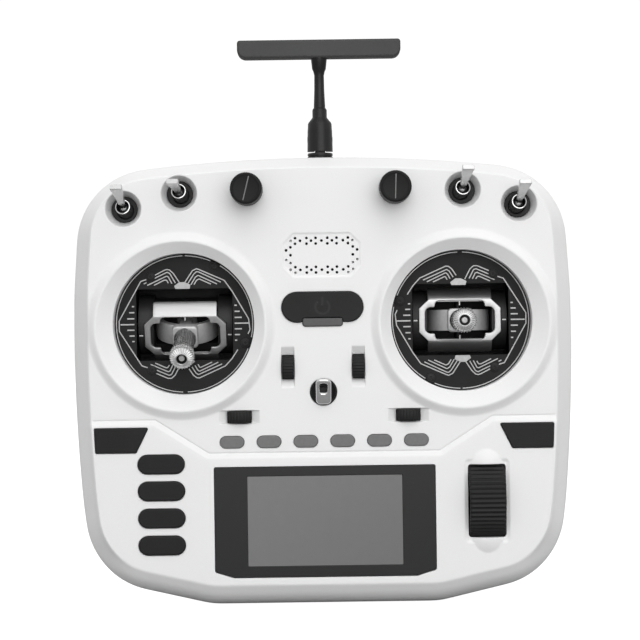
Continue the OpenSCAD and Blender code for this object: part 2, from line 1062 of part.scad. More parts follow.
module antenna_jack() {
    color("goldenrod")
        translate([0, antenna_y, 0]) {
            translate([0, 0, case_h - 8])
                cylinder(r = 4.4, h = 8.1);
            translate([0, 0, case_h - 3])
                cylinder(r = 2.4, h = 5.2);
            translate([-5.5, -5.5, case_h - 9.5])
                cube([11, 11, 1.6]);
        }
}

module antenna_base() {
    color("black")
        translate([0, antenna_y, 0])
            difference() {
                union() {
                    translate([0, 0, base_bottom])
                        cylinder(r = 5.1, h = base_top - base_bottom);
                    // Tongue between the barrel's cheeks
                    translate([-2.1, -3.6, base_top - 0.1])
                        cube([4.2, 7.2, fold_z - base_top]);
                    translate([-2.1, 0, fold_z])
                        rotate([0, 90, 0])
                            cylinder(r = 3.6, h = 4.2);
                }
                translate([0, 0, base_bottom - 1])
                    cylinder(r = 2.4 + running, h = 3.2);
                translate([-5, 0, fold_z])
                    rotate([0, 90, 0])
                        cylinder(r = 1.2 + running, h = 10);
            }
}

// Barrel, collar and stem in one moulding, with the hinge pin across its foot
module antenna_mast() {
    color("black")
        translate([0, antenna_y, 0]) {
            difference() {
                intersection() {
                    rotate_extrude()
                        polygon([[0, fold_z - 6], [5.2, fold_z - 6], [4.8, case_h + 14.8],
                            [2.95, case_h + 17.2], [2.95, case_h + 20.6],
                            [2.45, case_h + 21], [2.2, antenna_top - 12],
                            [2.8, antenna_top - 11.5], [2.8, antenna_top - 7.9],
                            [0, antenna_top - 7.9]]);
                    // Rounded foot so that the barrel can fold
                    union() {
                        translate([-10, 0, fold_z])
                            rotate([0, 90, 0])
                                cylinder(r = 4.9, h = 20);
                        translate([-10, -10, fold_z])
                            cube([20, 20, 60]);
                    }
                }
                translate([-2.3, -10, fold_z - 10])
                    cube([4.6, 20, 13.9]);
            }
            translate([-4.6, 0, fold_z])
                rotate([0, 90, 0])
                    cylinder(r = 1.2, h = 9.2);
        }
}

module antenna_head() {
    h = 7.8;
    w = antenna_w / 2;
    color("dimgray")
        translate([0, antenna_y + 3.6, antenna_top - h])
            rotate([90, 0, 0])
                linear_extrude(7.2)
                    polygon([[-w + 1, h], [-w, h - 1], [-w, 3.4], [-w + 1.2, 1],
                        [-w + 3.6, 0], [w - 3.6, 0], [w - 1.2, 1], [w, 3.4],
                        [w, h - 1], [w - 1, h]]);
}

front_shell();
rear_shell();
grip_pads();
battery_door();
module_cover();
screws();
power_light_bar();
display_window();
lcd_module();
main_board();
speaker();
battery_cells();
strap_eyelet();
eyelet_cup();
gimbal_faceplates();
gimbal_housings();
gimbal_bearings();
gimbal_springs();
gimbal_sensors();
left_yoke_frame();
left_saddle();
left_stick_block();
left_stick_end();
right_yoke_frame();
right_saddle();
right_stick_block();
right_stick_end();
toggle_switches();
toggle_discs();
toggle_lever_1();
toggle_lever_2();
toggle_lever_3();
toggle_lever_4();
dial_pots();
left_dial_knob();
right_dial_knob();
left_vertical_trim();
right_vertical_trim();
left_horizontal_trim();
right_horizontal_trim();
power_button();
function_button_1();
function_button_2();
function_button_3();
function_button_4();
function_button_5();
function_button_6();
menu_button_1();
menu_button_2();
menu_button_3();
menu_button_4();
left_page_key();
right_page_key();
wheel_carriage();
scroll_wheel();
antenna_jack();
antenna_base();
antenna_mast();
antenna_head();
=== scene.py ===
"""Looks of a handheld radio transmitter controller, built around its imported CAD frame.

Lengths are in mm in the helpers and become metres when a mesh is made. Local frames have x to the
right, y up and z out of the face, towards the operator.
"""

import math

import bpy
import numpy as np
from mathutils import Matrix, Vector
from mathutils.geometry import delaunay_2d_cdt


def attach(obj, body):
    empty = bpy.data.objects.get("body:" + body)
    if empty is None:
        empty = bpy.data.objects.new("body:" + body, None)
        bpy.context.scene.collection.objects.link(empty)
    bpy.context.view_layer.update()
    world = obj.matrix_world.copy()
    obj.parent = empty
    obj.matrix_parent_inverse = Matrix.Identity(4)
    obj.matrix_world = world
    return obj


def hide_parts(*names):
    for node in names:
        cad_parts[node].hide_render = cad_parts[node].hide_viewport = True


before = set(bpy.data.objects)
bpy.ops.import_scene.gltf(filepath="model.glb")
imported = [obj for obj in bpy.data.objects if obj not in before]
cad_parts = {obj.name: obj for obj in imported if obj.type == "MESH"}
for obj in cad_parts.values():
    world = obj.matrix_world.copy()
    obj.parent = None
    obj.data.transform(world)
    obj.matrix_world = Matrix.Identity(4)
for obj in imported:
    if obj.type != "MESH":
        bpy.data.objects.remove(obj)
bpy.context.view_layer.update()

MM = 0.001
FACE_D = 20.0
BACK_D = 22.0
CASE_H = 178.1
OUTLINE_POINTS = 520
HALF_W = 99.5
WALL = 2.0
GIMBAL = (54.5, 112.2)
PIVOT_Y = 2.5
OPEN_R = 27.7
PLATE_FRONT = 15.5
SADDLE_R = 14.8
SADDLE_FLAT = 12.4
STICK_LEN = 36.5
STICK_TEETH = 28
DRUM_R = 12.6
THROTTLE_REST = 22.0
WELLS = ((77.4, 157.5), (55.5, 163.2))
WELL_LIP_R = 7.6
RINGS = ((77.5, 158.3), (55.6, 164.1))
LEVER_THROW = 15.0
LEVER_SPLAY = 6.0
LEVER_PITCH = 78.0
LEVER_SINK = 3.0
DIALS = (28.85, 164.1)
KNURLS = 60
KNURL_DEPTH = {4: 0.16, 5: 0.16, 6: 0.1}
TRIM_UP = (13.8, 94.7)
TRIM_FLAT = (33.1, 75.4)
TRIM_SLOT = (4.8, 9.7)
TRIM_RIBS = 9
WHEEL = (63.4, 41.5)
WHEEL_W = 14.2
AXLE_H = -12.5
WHEEL_SLOT = (14.7, 28.6)
WHEEL_RIBS = 64
WHEEL_FRAME = (18.2, 33.4)
HUMP = (5.6, 5.9, 1.6)
DECK = 0.8
KEY_GAP = 0.16
GRIP = (71.0, 64.0)
GRIP_W = 38.0
GRIP_H = 104.0
GRIP_R = 18.0
DOOR_Z = 40.0
COVER_Z = 118.0
POWER_Z = 118.1
POWER_HALF = 10.05
POWER_R = 5.9
LIGHT_HALF = 7.75
LIGHT_LOW = 110.6
LIGHT_TOP = 112.2
EYELET_Z = 84.85
KEY_FOOT = -2.6
FUNCTION_X = (-36.05, -21.6, -7.2, 7.2, 21.6, 36.05)
FUNCTION_Z = 65.65
FUNCTION_KEY = (9.4, 4.6)
MENU_X = -63.85
MENU_Z = (57.4, 46.9, 36.3, 25.7)
MENU_KEY = (18.3, 7.5)
SPEAKER_Z = 138.5
ANTENNA_Y = 9.0
FOLD_Z = CASE_H + 8.2
MAST_TOP = 226.5
HEAD_Z = 219.4
CASE_SCREWS = ((42, 16), (42, 76), (24, 160))
PLATE_SCREWS = ((-13.2, 18.8), (12.1, 22.7), (-13.0, -18.1), (23.9, -7.8))


# ---------- finishes ----------

def linear(grey):
    """An sRGB grey from 0 to 255 as a linear value."""
    c = grey / 255
    return c / 12.92 if c <= 0.04045 else ((c + 0.055) / 1.055) ** 2.4


def wire(tree, node, inputs):
    """Links each input whose value is a socket, and sets the others."""
    for key, value in inputs.items():
        if isinstance(value, bpy.types.NodeSocket):
            tree.links.new(value, node.inputs[key])
        else:
            node.inputs[key].default_value = value
    return node


def add_node(tree, kind, inputs, **settings):
    node = tree.nodes.new("ShaderNode" + kind)
    for key, value in settings.items():
        setattr(node, key, value)
    return wire(tree, node, inputs)


def remap(tree, source, start, end, low, high):
    """The socket's range start to end, stretched to low to high."""
    return add_node(tree, "MapRange", {"Value": source, "From Min": start, "From Max": end,
                                       "To Min": low, "To Max": high}).outputs["Result"]


def finish(name, grey, rough=0.5, metal=0.0, tint=(1, 1, 1), grain=900, grain_amount=0.05,
           bump=2200, bump_mm=0.012, wear=0.05, stretch=(1, 1, 1), specular=0.35, painted_light_ramp=None):
    """A procedural surface: fine grain in colour, smudges in roughness and a grained bump.

    The light ramp argument is (direction, low, high): the colour's factor 50 mm down and up that direction,
    which paints light and shade into the colour.
    """
    mat = bpy.data.materials.new(name)
    mat.use_nodes = True
    tree = mat.node_tree
    coords = add_node(tree, "TexCoord", {}).outputs["Object"]
    place = add_node(tree, "Mapping", {"Scale": stretch, "Vector": coords}).outputs["Vector"]

    def noise(scale, detail):
        return add_node(tree, "TexNoise", {"Scale": scale, "Detail": detail, "Vector": place}).outputs["Fac"]

    dark, light = ([linear(grey) * t * (1 + sign * grain_amount) for t in tint] + [1] for sign in (-1, 1))
    shade = add_node(tree, "Mix", {0: remap(tree, noise(grain, 5), 0.3, 0.7, 0, 1), 6: dark, 7: light},
                     data_type="RGBA").outputs[2]
    # painted light and shade: the colour is scaled up and down along one direction
    if painted_light_ramp:
        along = add_node(tree, "VectorMath", {0: coords, 1: painted_light_ramp[0]}, operation="DOT_PRODUCT")
        factor = remap(tree, along.outputs["Value"], -0.05, 0.05, painted_light_ramp[1], painted_light_ramp[2])
        shade = add_node(tree, "VectorMath", {0: shade, "Scale": factor}, operation="SCALE").outputs["Vector"]
    relief = add_node(tree, "Bump", {"Distance": bump_mm * MM, "Strength": 0.6, "Height": noise(bump, 3)})
    wire(tree, tree.nodes["Principled BSDF"], {
        "Metallic": metal, "Specular IOR Level": specular, "Base Color": shade,
        "Roughness": remap(tree, noise(55, 4), 0.3, 0.7, rough - wear, rough + wear),
        "Normal": relief.outputs["Normal"]})
    return mat


WHITE = finish("white_shell", 239, 0.5, grain=1500, grain_amount=0.008, bump=3500, bump_mm=0.006,
               specular=0.3)
RUBBER = finish("grip_rubber", 46, 0.8, grain=600, bump=1200, bump_mm=0.05)
BLACK_KEY = finish("key_black", 27, 0.5, bump=3000, bump_mm=0.01, specular=0.25)
GREY_KEY = finish("grey_key", 116, 0.55, bump=3000, bump_mm=0.01)
LIGHT_BAR = finish("light_bar", 84, 0.4, bump=3000)
BEZEL = finish("window", 37, 0.35, grain_amount=0.02, bump_mm=0.003, wear=0.02, specular=0.3)
# the screen's colour is painted lighter towards the top left and darker towards the bottom right, a painted
# sheen and shade on the glass
SCREEN = finish("lcd", 116, 0.4, grain=300, grain_amount=0.015, bump_mm=0.002, wear=0.02,
                painted_light_ramp=((-0.7, 0, 0.7), 0.84, 1.1))
BOARD = finish("circuit_board", 60, 0.5, tint=(0.5, 1.0, 0.6))
PLASTIC = finish("black_plastic", 28, 0.55)
SPEAKER = finish("speaker_black", 22, 0.7)
CELL = finish("cell_wrap", 95, 0.35, tint=(0.55, 0.75, 1.1))
SCREW = finish("screw_black", 30, 0.35, metal=0.6, wear=0.1)
CHROME = finish("chrome", 226, 0.14, metal=1.0, grain_amount=0.02, bump_mm=0.003, wear=0.04)
PLATE = finish("gimbal_board", 24, 0.55, bump=1800, bump_mm=0.01, specular=0.25)
PRINT = finish("gimbal_print", 176, 0.4, metal=0.5, grain_amount=0.08)
GIMBAL_BLACK = finish("gimbal_black", 38, 0.5)
MARK = finish("white_mark", 225, 0.5)
SADDLE = finish("saddle_aluminium", 198, 0.45, metal=1.0, grain=500, bump=900, bump_mm=0.006,
                stretch=(0.15, 1, 1))
BLOCK = finish("block_aluminium", 200, 0.5, metal=0.6, bump_mm=0.008)
STICK = finish("stick_aluminium", 218, 0.3, metal=1.0, wear=0.08)
STEEL = finish("steel", 200, 0.32, metal=1.0, wear=0.08)
DIAL = finish("dial_black", 22, 0.5, bump=1500, bump_mm=0.015, specular=0.2)
POINTER = finish("dial_pointer", 120, 0.5)
MAST = finish("antenna_black", 24, 0.36, bump=1600, bump_mm=0.012, specular=0.3)
HEAD = finish("antenna_grey", 60, 0.5, bump=1600, bump_mm=0.015)
POT = finish("pot_body", 80, 0.4, metal=0.7)
SYMBOL = finish("key_symbol", 20, 0.4)


# ---------- plane shapes: (n, 2) arrays, counter-clockwise ----------

def columns(*arrays):
    return np.stack(arrays, 1)


def join(*arrays):
    return np.concatenate(arrays)

def arc(cx, cy, r, a0, a1, n):
    a = np.radians(np.linspace(a0, a1, n))
    return np.stack([cx + r * np.cos(a), cy + r * np.sin(a)], 1)


def circle(cx, cy, r, n=48):
    return arc(cx, cy, r, 0, 360, n + 1)[:-1]


def stadium(w, h, cx=0.0, cy=0.0, n=13):
    """A bar w long and h high with round ends; w is the longer one."""
    r, s = h / 2, (w - h) / 2
    return join(arc(cx + s, cy, r, -90, 90, n), arc(cx - s, cy, r, 90, 270, n))


def rounded(points, radii, n=6):
    """A polygon with rounded corners; radii is one value or one for each corner."""
    p = np.asarray(points, float)
    radii = np.broadcast_to(np.asarray(radii, float), (len(p),))
    out = []
    for i, corner in enumerate(p):
        back, ahead = p[i - 1] - corner, p[(i + 1) % len(p)] - corner
        back, ahead = back / np.linalg.norm(back), ahead / np.linalg.norm(ahead)
        half = math.acos(np.clip(back @ ahead, -1, 1)) / 2
        if radii[i] <= 0 or half > math.radians(89):
            out.append(corner[None])
            continue
        middle = back + ahead
        middle /= np.linalg.norm(middle)
        centre = corner + middle * radii[i] / math.sin(half)
        a = corner + back * radii[i] / math.tan(half) - centre
        b = corner + ahead * radii[i] / math.tan(half) - centre
        a0, a1 = math.atan2(a[1], a[0]), math.atan2(b[1], b[0])
        turn = (a1 - a0 + math.pi) % (2 * math.pi) - math.pi
        angles = a0 + turn * np.linspace(0, 1, n)
        out.append(centre + radii[i] * columns(np.cos(angles), np.sin(angles)))
    return np.concatenate(out)





def rrect(w, h, r, cx=0.0, cy=0.0, n=6):
    x, y = w / 2, h / 2
    loop = rounded([(x, -y), (x, y), (-x, y), (-x, -y)], r, n)
    return loop + np.array([cx, cy])


def twofold(half):
    """A polygon from its first half and the same points turned half a turn."""
    return join(half, -np.array(half))


def offset(loop, d):
    """The loop moved outwards by d, or inwards when d is negative."""
    edge = np.roll(loop, -1, 0) - loop
    edge /= np.maximum(np.hypot(edge[:, 0], edge[:, 1]), 1e-9)[:, None]
    normal = columns(edge[:, 1], -edge[:, 0])
    mean = normal + np.roll(normal, 1, 0)
    mean /= np.maximum(np.hypot(mean[:, 0], mean[:, 1]), 1e-9)[:, None]
    return loop + mean * (d / np.maximum((mean * normal).sum(1), 0.3))[:, None]


def resample(loop, step):
    """Adds points so that no side is longer than step."""
    out = []
    for a, b in zip(loop, np.roll(loop, -1, 0)):
        n = max(1, math.ceil(np.linalg.norm(b - a) / step))
        out.append(a + (b - a) * (np.arange(n) / n)[:, None])
    return np.concatenate(out)


def inside(loop, points):
    """Which points lie inside the loop."""
    lo, hi = loop.min(0), loop.max(0)
    near = np.all((points >= lo) & (points <= hi), 1)
    result = np.zeros(len(points), bool)
    p = points[near]
    if not len(p):
        return result
    a, b = loop, np.roll(loop, -1, 0)
    crosses = (a[:, 1] > p[:, 1:]) != (b[:, 1] > p[:, 1:])
    rise = np.where(b[:, 1] == a[:, 1], 1e-12, b[:, 1] - a[:, 1])
    at = a[:, 0] + (p[:, 1:] - a[:, 1]) / rise * (b[:, 0] - a[:, 0])
    result[near] = (np.sum(crosses & (p[:, :1] < at), 1) % 2) == 1
    return result


def smooth(t):
    t = np.clip(t, 0, 1)
    return t * t * (3 - 2 * t)


def smooth_min(a, b, k):
    h = np.clip(0.5 + 0.5 * (b - a) / k, 0, 1)
    return b * (1 - h) + a * h - k * h * (1 - h)


def box_distance(x, z, half_w, half_h, r):
    """How far inside a rounded rectangle each point lies; negative outside."""
    qx, qz = np.abs(x) - half_w + r, np.abs(z) - half_h + r
    outside = np.hypot(np.maximum(qx, 0), np.maximum(qz, 0))
    return r - outside - np.minimum(np.maximum(qx, qz), 0)


def polygon_distance(x, z, polygon):
    """How far inside a polygon each point lies; negative outside."""
    p = columns(x, z)
    best = np.full(len(p), 1e9)
    for a, b in zip(polygon, np.roll(polygon, -1, 0)):
        side = b - a
        t = np.clip(((p - a) @ side) / (side @ side), 0, 1)
        best = np.minimum(best, np.hypot(*(p - a - t[:, None] * side).T))
    return np.where(inside(polygon, p), best, -best)


# ---------- solids: (vertices, faces) ----------

def raise_to(loop, h):
    return np.column_stack([loop, np.broadcast_to(h, (len(loop),))])


def strip(a, b):
    """Quads between two index loops of equal length; they face outwards when b lies above a."""
    return [(a[i], a[(i + 1) % len(a)], b[(i + 1) % len(b)], b[i]) for i in range(len(a))]


def stack(rings, bottom=True, top=True, closed=False):
    """A solid through rings of equal count, from bottom to top."""
    n = len(rings[0])
    index = [list(range(k * n, (k + 1) * n)) for k in range(len(rings))]
    faces = []
    for a, b in zip(index, index[1:] + ([index[0]] if closed else [])):
        faces += strip(a, b)
    if bottom and not closed:
        faces.append(index[0][::-1])
    if top and not closed:
        faces.append(index[-1])
    return np.concatenate(rings), faces


def edge_rings(h0, h1, r0, r1, steps=4):
    """(inset, height) from a rounded bottom edge to a rounded top edge."""
    sweep = np.radians(np.linspace(0, 90, steps + 1))
    low = [(r0 * 1.3, h0)] + [(r0 * (1 - math.sin(a)), h0 + r0 * (1 - math.cos(a))) for a in sweep]
    high = [(r1 * (1 - math.cos(a)), h1 - r1 * (1 - math.sin(a))) for a in sweep] + [(r1 * 1.3, h1)]
    return (low if r0 > 0 else [(0, h0)]) + (high if r1 > 0 else [(0, h1)])


def slab(loop, h0, h1, r0=0.0, r1=0.25, steps=4):
    return stack([raise_to(offset(loop, -i), h) for i, h in edge_rings(h0, h1, r0, r1, steps)])


def plate(loop, holes, h0, h1, r1=0.15):
    """A slab with through holes."""
    steps = edge_rings(h0, h1, 0, r1)
    loops = [loop, *holes]
    top = [offset(p, steps[-1][0] if k else -steps[-1][0]) for k, p in enumerate(loops)]
    _, tris, first, rest = fill(top[0], top[1:])
    verts, faces, count, low, high = [], [], 0, {}, {}
    for k, (ring, ids) in enumerate(zip(loops, [first, *rest])):
        rings = [raise_to(offset(ring, i if k else -i), h) for i, h in steps]
        v, f = stack(rings, bottom=False, top=False)
        faces += [[i + count for i in (q[::-1] if k else q)] for q in f]
        low.update(zip(ids, range(count, count + len(ids))))
        count += len(v)
        high.update(zip(ids, range(count - len(ids), count)))
        verts.append(v)
    faces += [[high[i] for i in t] for t in tris] + [[low[i] for i in t[::-1]] for t in tris]
    return np.concatenate(verts), faces


def lathe(profile, n=64, ripple=None, closed=False):
    """A solid of revolution about local z through (radius, height) pairs, going up its outside."""
    a = np.linspace(0, 2 * math.pi, n, endpoint=False)
    rings = []
    for k, (r, h) in enumerate(profile):
        radius = r + (ripple(k, a) if ripple else 0 * a)
        rings.append(columns(radius * np.cos(a), radius * np.sin(a), np.full(n, h)))
    return stack(rings, closed=closed)


def toothed(profile, teeth, n):
    """A turned solid with teeth round it, through (radius, height, tooth depth) triples."""
    def cut(k, a):
        return -profile[k][2] * (0.5 - 0.5 * np.cos(teeth * a)) ** 0.7

    return lathe([(r, h) for r, h, _ in profile], n, cut)


def ribbon(path, w, h0, h1):
    """A thin strip of width w along a path."""
    p = np.asarray(path, float)
    d = np.gradient(p, axis=0)
    d /= np.hypot(d[:, 0], d[:, 1])[:, None]
    side = columns(-d[:, 1], d[:, 0]) * w / 2
    return slab(join(p - side, (p + side)[::-1]), h0, h1, 0, 0)


def fill(outer, holes, rows=(), step=None, thin=0.08):
    """Triangles that fill outer minus holes: points, triangles, outer index loop, hole index loops."""
    fixed, edges, spans = [], [], []
    for loop in [outer, *holes]:
        first = sum(len(f) for f in fixed)
        ids = list(range(first, first + len(loop)))
        spans.append(ids)
        edges += list(zip(ids, ids[1:] + ids[:1]))
        fixed.append(loop)
    fixed = np.concatenate(fixed)
    lo, hi = outer.min(0), outer.max(0)
    grid = []
    for k, z in enumerate(np.arange(lo[1], hi[1], step * 0.87) if step else ()):
        x = np.arange(lo[0] + (k % 2) * step / 2, hi[0], step)
        grid.append(columns(x, np.full(len(x), z)))
    room = {}

    def keep(p, gap):
        """Accepts a point when no accepted one lies within the gap."""
        i, j = int(p[0] // 1), int(p[1] // 1)
        near = (q for a in (-1, 0, 1) for b in (-1, 0, 1) for q in room.get((i + a, j + b), ()))
        if any((q[0] - p[0]) ** 2 + (q[1] - p[1]) ** 2 < gap * gap for q in near):
            return False
        room.setdefault((i, j), []).append(p)
        return True

    def within(points):
        return inside(outer, points) & ~np.any([inside(hole, points) for hole in holes], axis=0)

    for p in fixed:
        keep(p, 0)
    extra = [p for row in rows for p in row if keep(p, thin)]
    extra += [p for row in grid for p in row if keep(p, min(0.9, step * 0.45))]
    extra = np.array(extra).reshape(-1, 2)
    points = [Vector(p) for p in join(fixed, extra[within(extra)])]
    out = delaunay_2d_cdt(points, edges, [], 0, 1e-7, True)
    verts, tris = np.array([tuple(v) for v in out[0]]), np.array(out[2])
    index = {old: new for new, olds in enumerate(out[3]) for old in olds}
    tris = tris[within(verts[tris].mean(1))]
    a, b, c = verts[tris[:, 0]], verts[tris[:, 1]], verts[tris[:, 2]]
    area = (b[:, 0] - a[:, 0]) * (c[:, 1] - a[:, 1]) - (b[:, 1] - a[:, 1]) * (c[:, 0] - a[:, 0])
    tris[area < 0] = tris[area < 0][:, ::-1]
    loops = [[index[i] for i in ids] for ids in spans]
    return verts, tris[np.abs(area) > 1e-9], loops[0], loops[1:]


def sheet(outer, holes, thick, edge, step, warp=None, rows=()):
    """A sheet of metal with rounded edges, bent by warp."""
    rim = [offset(outer, -edge)] + [offset(h, edge) for h in holes]
    flat, tris, first, rest = fill(rim[0], rim[1:], rows, step)
    n = len(flat)
    verts = [raise_to(flat, 0), raise_to(flat, thick)]
    faces = [tuple(t[::-1]) for t in tris] + [tuple(i + n for i in t) for t in tris]
    count = 2 * n
    for k, (loop, ids) in enumerate(zip([outer, *holes], [first, *rest])):
        sign = -1 if k == 0 else 1
        low, high = list(ids), [i + n for i in ids]
        previous = low
        for inset, h in edge_rings(0, thick, edge, edge, 3)[2:-2]:
            ring = raise_to(offset(loop, sign * inset), h)
            ids_now = list(range(count, count + len(ring)))
            verts.append(ring)
            count += len(ring)
            faces += strip(previous, ids_now) if k == 0 else strip(ids_now, previous)
            previous = ids_now
        faces += strip(previous, high) if k == 0 else strip(high, previous)
    verts = np.concatenate(verts)
    return warp(verts) if warp else verts, faces


def new_object(name, data):
    obj = bpy.data.objects.new(name, data)
    bpy.context.scene.collection.objects.link(obj)
    return obj


class Part:
    """A mesh gathered from several solids."""

    def __init__(self):
        self.verts, self.faces, self.count = [], [], 0

    def add(self, solid, matrix=None):
        verts, faces = np.asarray(solid[0], float), solid[1]
        if matrix is not None:
            m = np.array(matrix)
            verts = verts @ m[:3, :3].T + m[:3, 3]
        self.verts.append(verts)
        self.faces += [tuple(int(i) + self.count for i in f) for f in faces]
        self.count += len(verts)
        return self

    def build(self, name, mat, body, node=None, slot=None, sharp=35, normals=None):
        """Makes the object; it stands for node, and its slot is the finish's name; the slot argument is not
        used.
        """
        mesh = bpy.data.meshes.new(name)
        mesh.from_pydata((np.concatenate(self.verts) * MM).tolist(), [], self.faces)
        mesh.update()
        mesh.shade_smooth()
        if normals is None:
            mesh.set_sharp_from_angle(angle=math.radians(sharp))
        else:
            mesh.normals_split_custom_set_from_vertices(normals)
        obj = new_object(name, mesh)
        mesh.materials.append(mat)
        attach(obj, body)
        if node:
            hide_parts(node)


# ---------- local frames ----------

def move(x, y, z):
    return Matrix.Translation((x, y, z))


def rotate(degrees, axis):
    return Matrix.Rotation(math.radians(degrees), 4, axis)


SIDES = ((-1, "left"), (1, "right"))

def face(x=0.0, z=0.0, h=0.0):
    """A frame on the front face."""
    return Matrix(((1, 0, 0, x), (0, 0, -1, -FACE_D - h), (0, 1, 0, z), (0, 0, 0, 1)))


def back(x=0.0, z=0.0, h=0.0):
    """A frame on the back, with z out of it."""
    return Matrix(((-1, 0, 0, x), (0, 0, 1, BACK_D + h), (0, 1, 0, z), (0, 0, 0, 1)))


def gimbal(side, tilt=0.0):
    """A frame at a gimbal's pivot, tipped down by tilt."""
    return move(side * GIMBAL[0], PIVOT_Y, GIMBAL[1]) @ rotate(90 + tilt, "X")


def switch(side, i, swing=0.0):
    """A frame at a toggle lever's pivot."""
    x, z = RINGS[i]
    lean = rotate(side * LEVER_SPLAY, "Z") @ rotate(LEVER_PITCH, "X")
    return move(side * x, -FACE_D - 1, z) @ lean @ move(0, 0, -LEVER_SINK) @ rotate(swing, "X")


# ---------- shells ----------

def case_outline():
    """The widest outline of the case, evenly spaced and counter-clockwise."""
    right = join(
        arc(0, CASE_H - 650, 650, 90, 83.8, 12),
        arc(HALF_W - 32.2, CASE_H - 34.4, 30.7, 80, 6, 30),
        arc(HALF_W - 750, 106, 750, 1.5, -5.0, 16),
        arc(HALF_W - 34.6, 36.3, 31, -9, -74, 26),
        arc(43, 20, 20, -80, -90, 6))
    loop = join(right, right[:0:-1] * np.array([-1, 1]))[::-1]
    whole = join(loop, loop[:1])
    along = join([0], np.cumsum(np.hypot(*np.diff(whole, axis=0).T)))
    at = np.arange(OUTLINE_POINTS) / OUTLINE_POINTS * along[-1]
    even = columns(*(np.interp(at, along, whole[:, k]) for k in (0, 1)))
    weights = np.exp(-0.5 * (np.arange(-4, 5) / 1.6) ** 2)
    weights /= weights.sum()
    return sum(w * np.roll(even, k, 0) for w, k in zip(weights, range(-4, 5)))


OUTLINE = case_outline()
OUTLINE_DOWN = np.clip(-(offset(OUTLINE, 1) - OUTLINE)[:, 1], 0, 1)


def case_ring(inset, rise=0.3):
    """The outline drawn in by inset, and moved up by rise times the inset."""
    ring = offset(OUTLINE, -inset) + np.array([0, rise * inset])
    ring[:, 1] = np.maximum(ring[:, 1], 0)
    return ring


def clear_wells(ring, inset):
    """Pushes a ring of the front flank outwards round the toggle wells."""
    ring = ring.copy()
    for x, z in WELLS:
        for side in (-1, 1):
            arm = ring - np.array([side * x, z])
            far = np.hypot(arm[:, 0], arm[:, 1])
            room = WELL_LIP_R + 0.45 * (8 - inset)
            ring += arm * np.maximum(room / far - 1, 0)[:, None]
    return ring


def front_flank(inset):
    """Height of the front flank against the face, for each point of a ring."""
    side = np.interp(inset, (0, 0.05, 0.2, 0.5, 1.0, 7.0, 7.4, 7.8, 8.0),
                     (0, 2, 4, 6, 8, 19.0, 19.55, 19.93, 20))
    foot = FACE_D * math.sqrt(max(0.0, 1 - (1 - inset / 8) ** 2))
    share = smooth((OUTLINE_DOWN - 0.5) / 0.45)
    return side * (1 - share) + foot * share - FACE_D


DECK_LINE = np.array([(-91.5, 74.5), (-66, 74.5), (-45.2, 61.2), (45.2, 61.2), (66, 74.5), (91.5, 74.5)])
DECK_AREA = join([(-130, -10), (130, -10), (130, 74.5)], DECK_LINE[4:0:-1], [(-130, 74.5)])
SPEAKER_AREA = twofold([(-11.3, -9), (11.3, -9), (15.5, -4.8), (15.5, 4.8)]) + np.array([0, SPEAKER_Z])
CREST_R = 33.0
CREST_H = 2.5
FUNNEL_H = -1.4
SCOOP_R = 12.4
SCOOP_AXIS = 9.5
SCOOP_HALF = 2.46


def scoop(across, along):
    """A trough around a trim knob."""
    trough = SCOOP_AXIS - np.sqrt(np.maximum(SCOOP_R ** 2 - along ** 2, 1))
    return smooth_min(trough, 0 * trough, 0.3) * (1 - smooth((np.abs(across) - SCOOP_HALF) / 0.16))


def front_height(x, z):
    """Relief of the front face."""
    inside_deck = polygon_distance(x, z, DECK_AREA)
    h = DECK * smooth((inside_deck + 0.1) / 2.4) - 0.3 * np.exp(-((inside_deck + 0.15) / 0.3) ** 2)
    for side in (-1, 1):
        a = np.maximum(np.hypot(x - side * GIMBAL[0], z - GIMBAL[1]) - OPEN_R, 0)
        b = CREST_R - np.hypot(x - side * (GIMBAL[0] + 1), z - GIMBAL[1] + 0.8)
        share = a / np.maximum(a + b, 0.01)
        inner = np.where(b > 0, FUNNEL_H + (CREST_H - FUNNEL_H) * share, CREST_H - 0.9 * b)
        outer = np.where(b > 0, CREST_H + 0.5 * b, CREST_H * (1 - smooth(-b / 4.2)))
        h = h + smooth_min(inner, outer, 0.4)
        h = h + scoop(x - side * TRIM_UP[0], z - TRIM_UP[1])
        h = h + scoop(z - TRIM_FLAT[1], x - side * TRIM_FLAT[0])
    h = h - 0.4 * smooth(polygon_distance(x, z, SPEAKER_AREA) / 1.1)
    frame_in = box_distance(x - WHEEL[0], z - WHEEL[1], WHEEL_FRAME[0] / 2, WHEEL_FRAME[1] / 2, 2)
    across = (x - WHEEL[0]) / HUMP[0]
    beyond = np.maximum(np.abs(z - WHEEL[1]) - WHEEL_SLOT[1] / 2, 0) / HUMP[1]
    hump = HUMP[2] * (1 - across ** 2 - beyond ** 2)
    sink = -0.6 * smooth(frame_in / 1.6)
    return h - smooth_min(-hump, -sink, 0.25)


class Hole:
    """An opening: its outline, the (outset, drop) pairs of its rounded lip and its lowest height.

    The inner skin stays further than room from the middle of the opening.
    """

    def __init__(self, loop, lip, bottom, floor=False, lead=None, room=0.0):
        self.loop, self.bottom, self.floor, self.room = loop, bottom, floor, room
        steps = np.radians(np.linspace(0, 90, 4))
        self.lead = lead or [(lip * (1 - math.sin(a)), -lip * (1 - math.cos(a))) for a in steps]


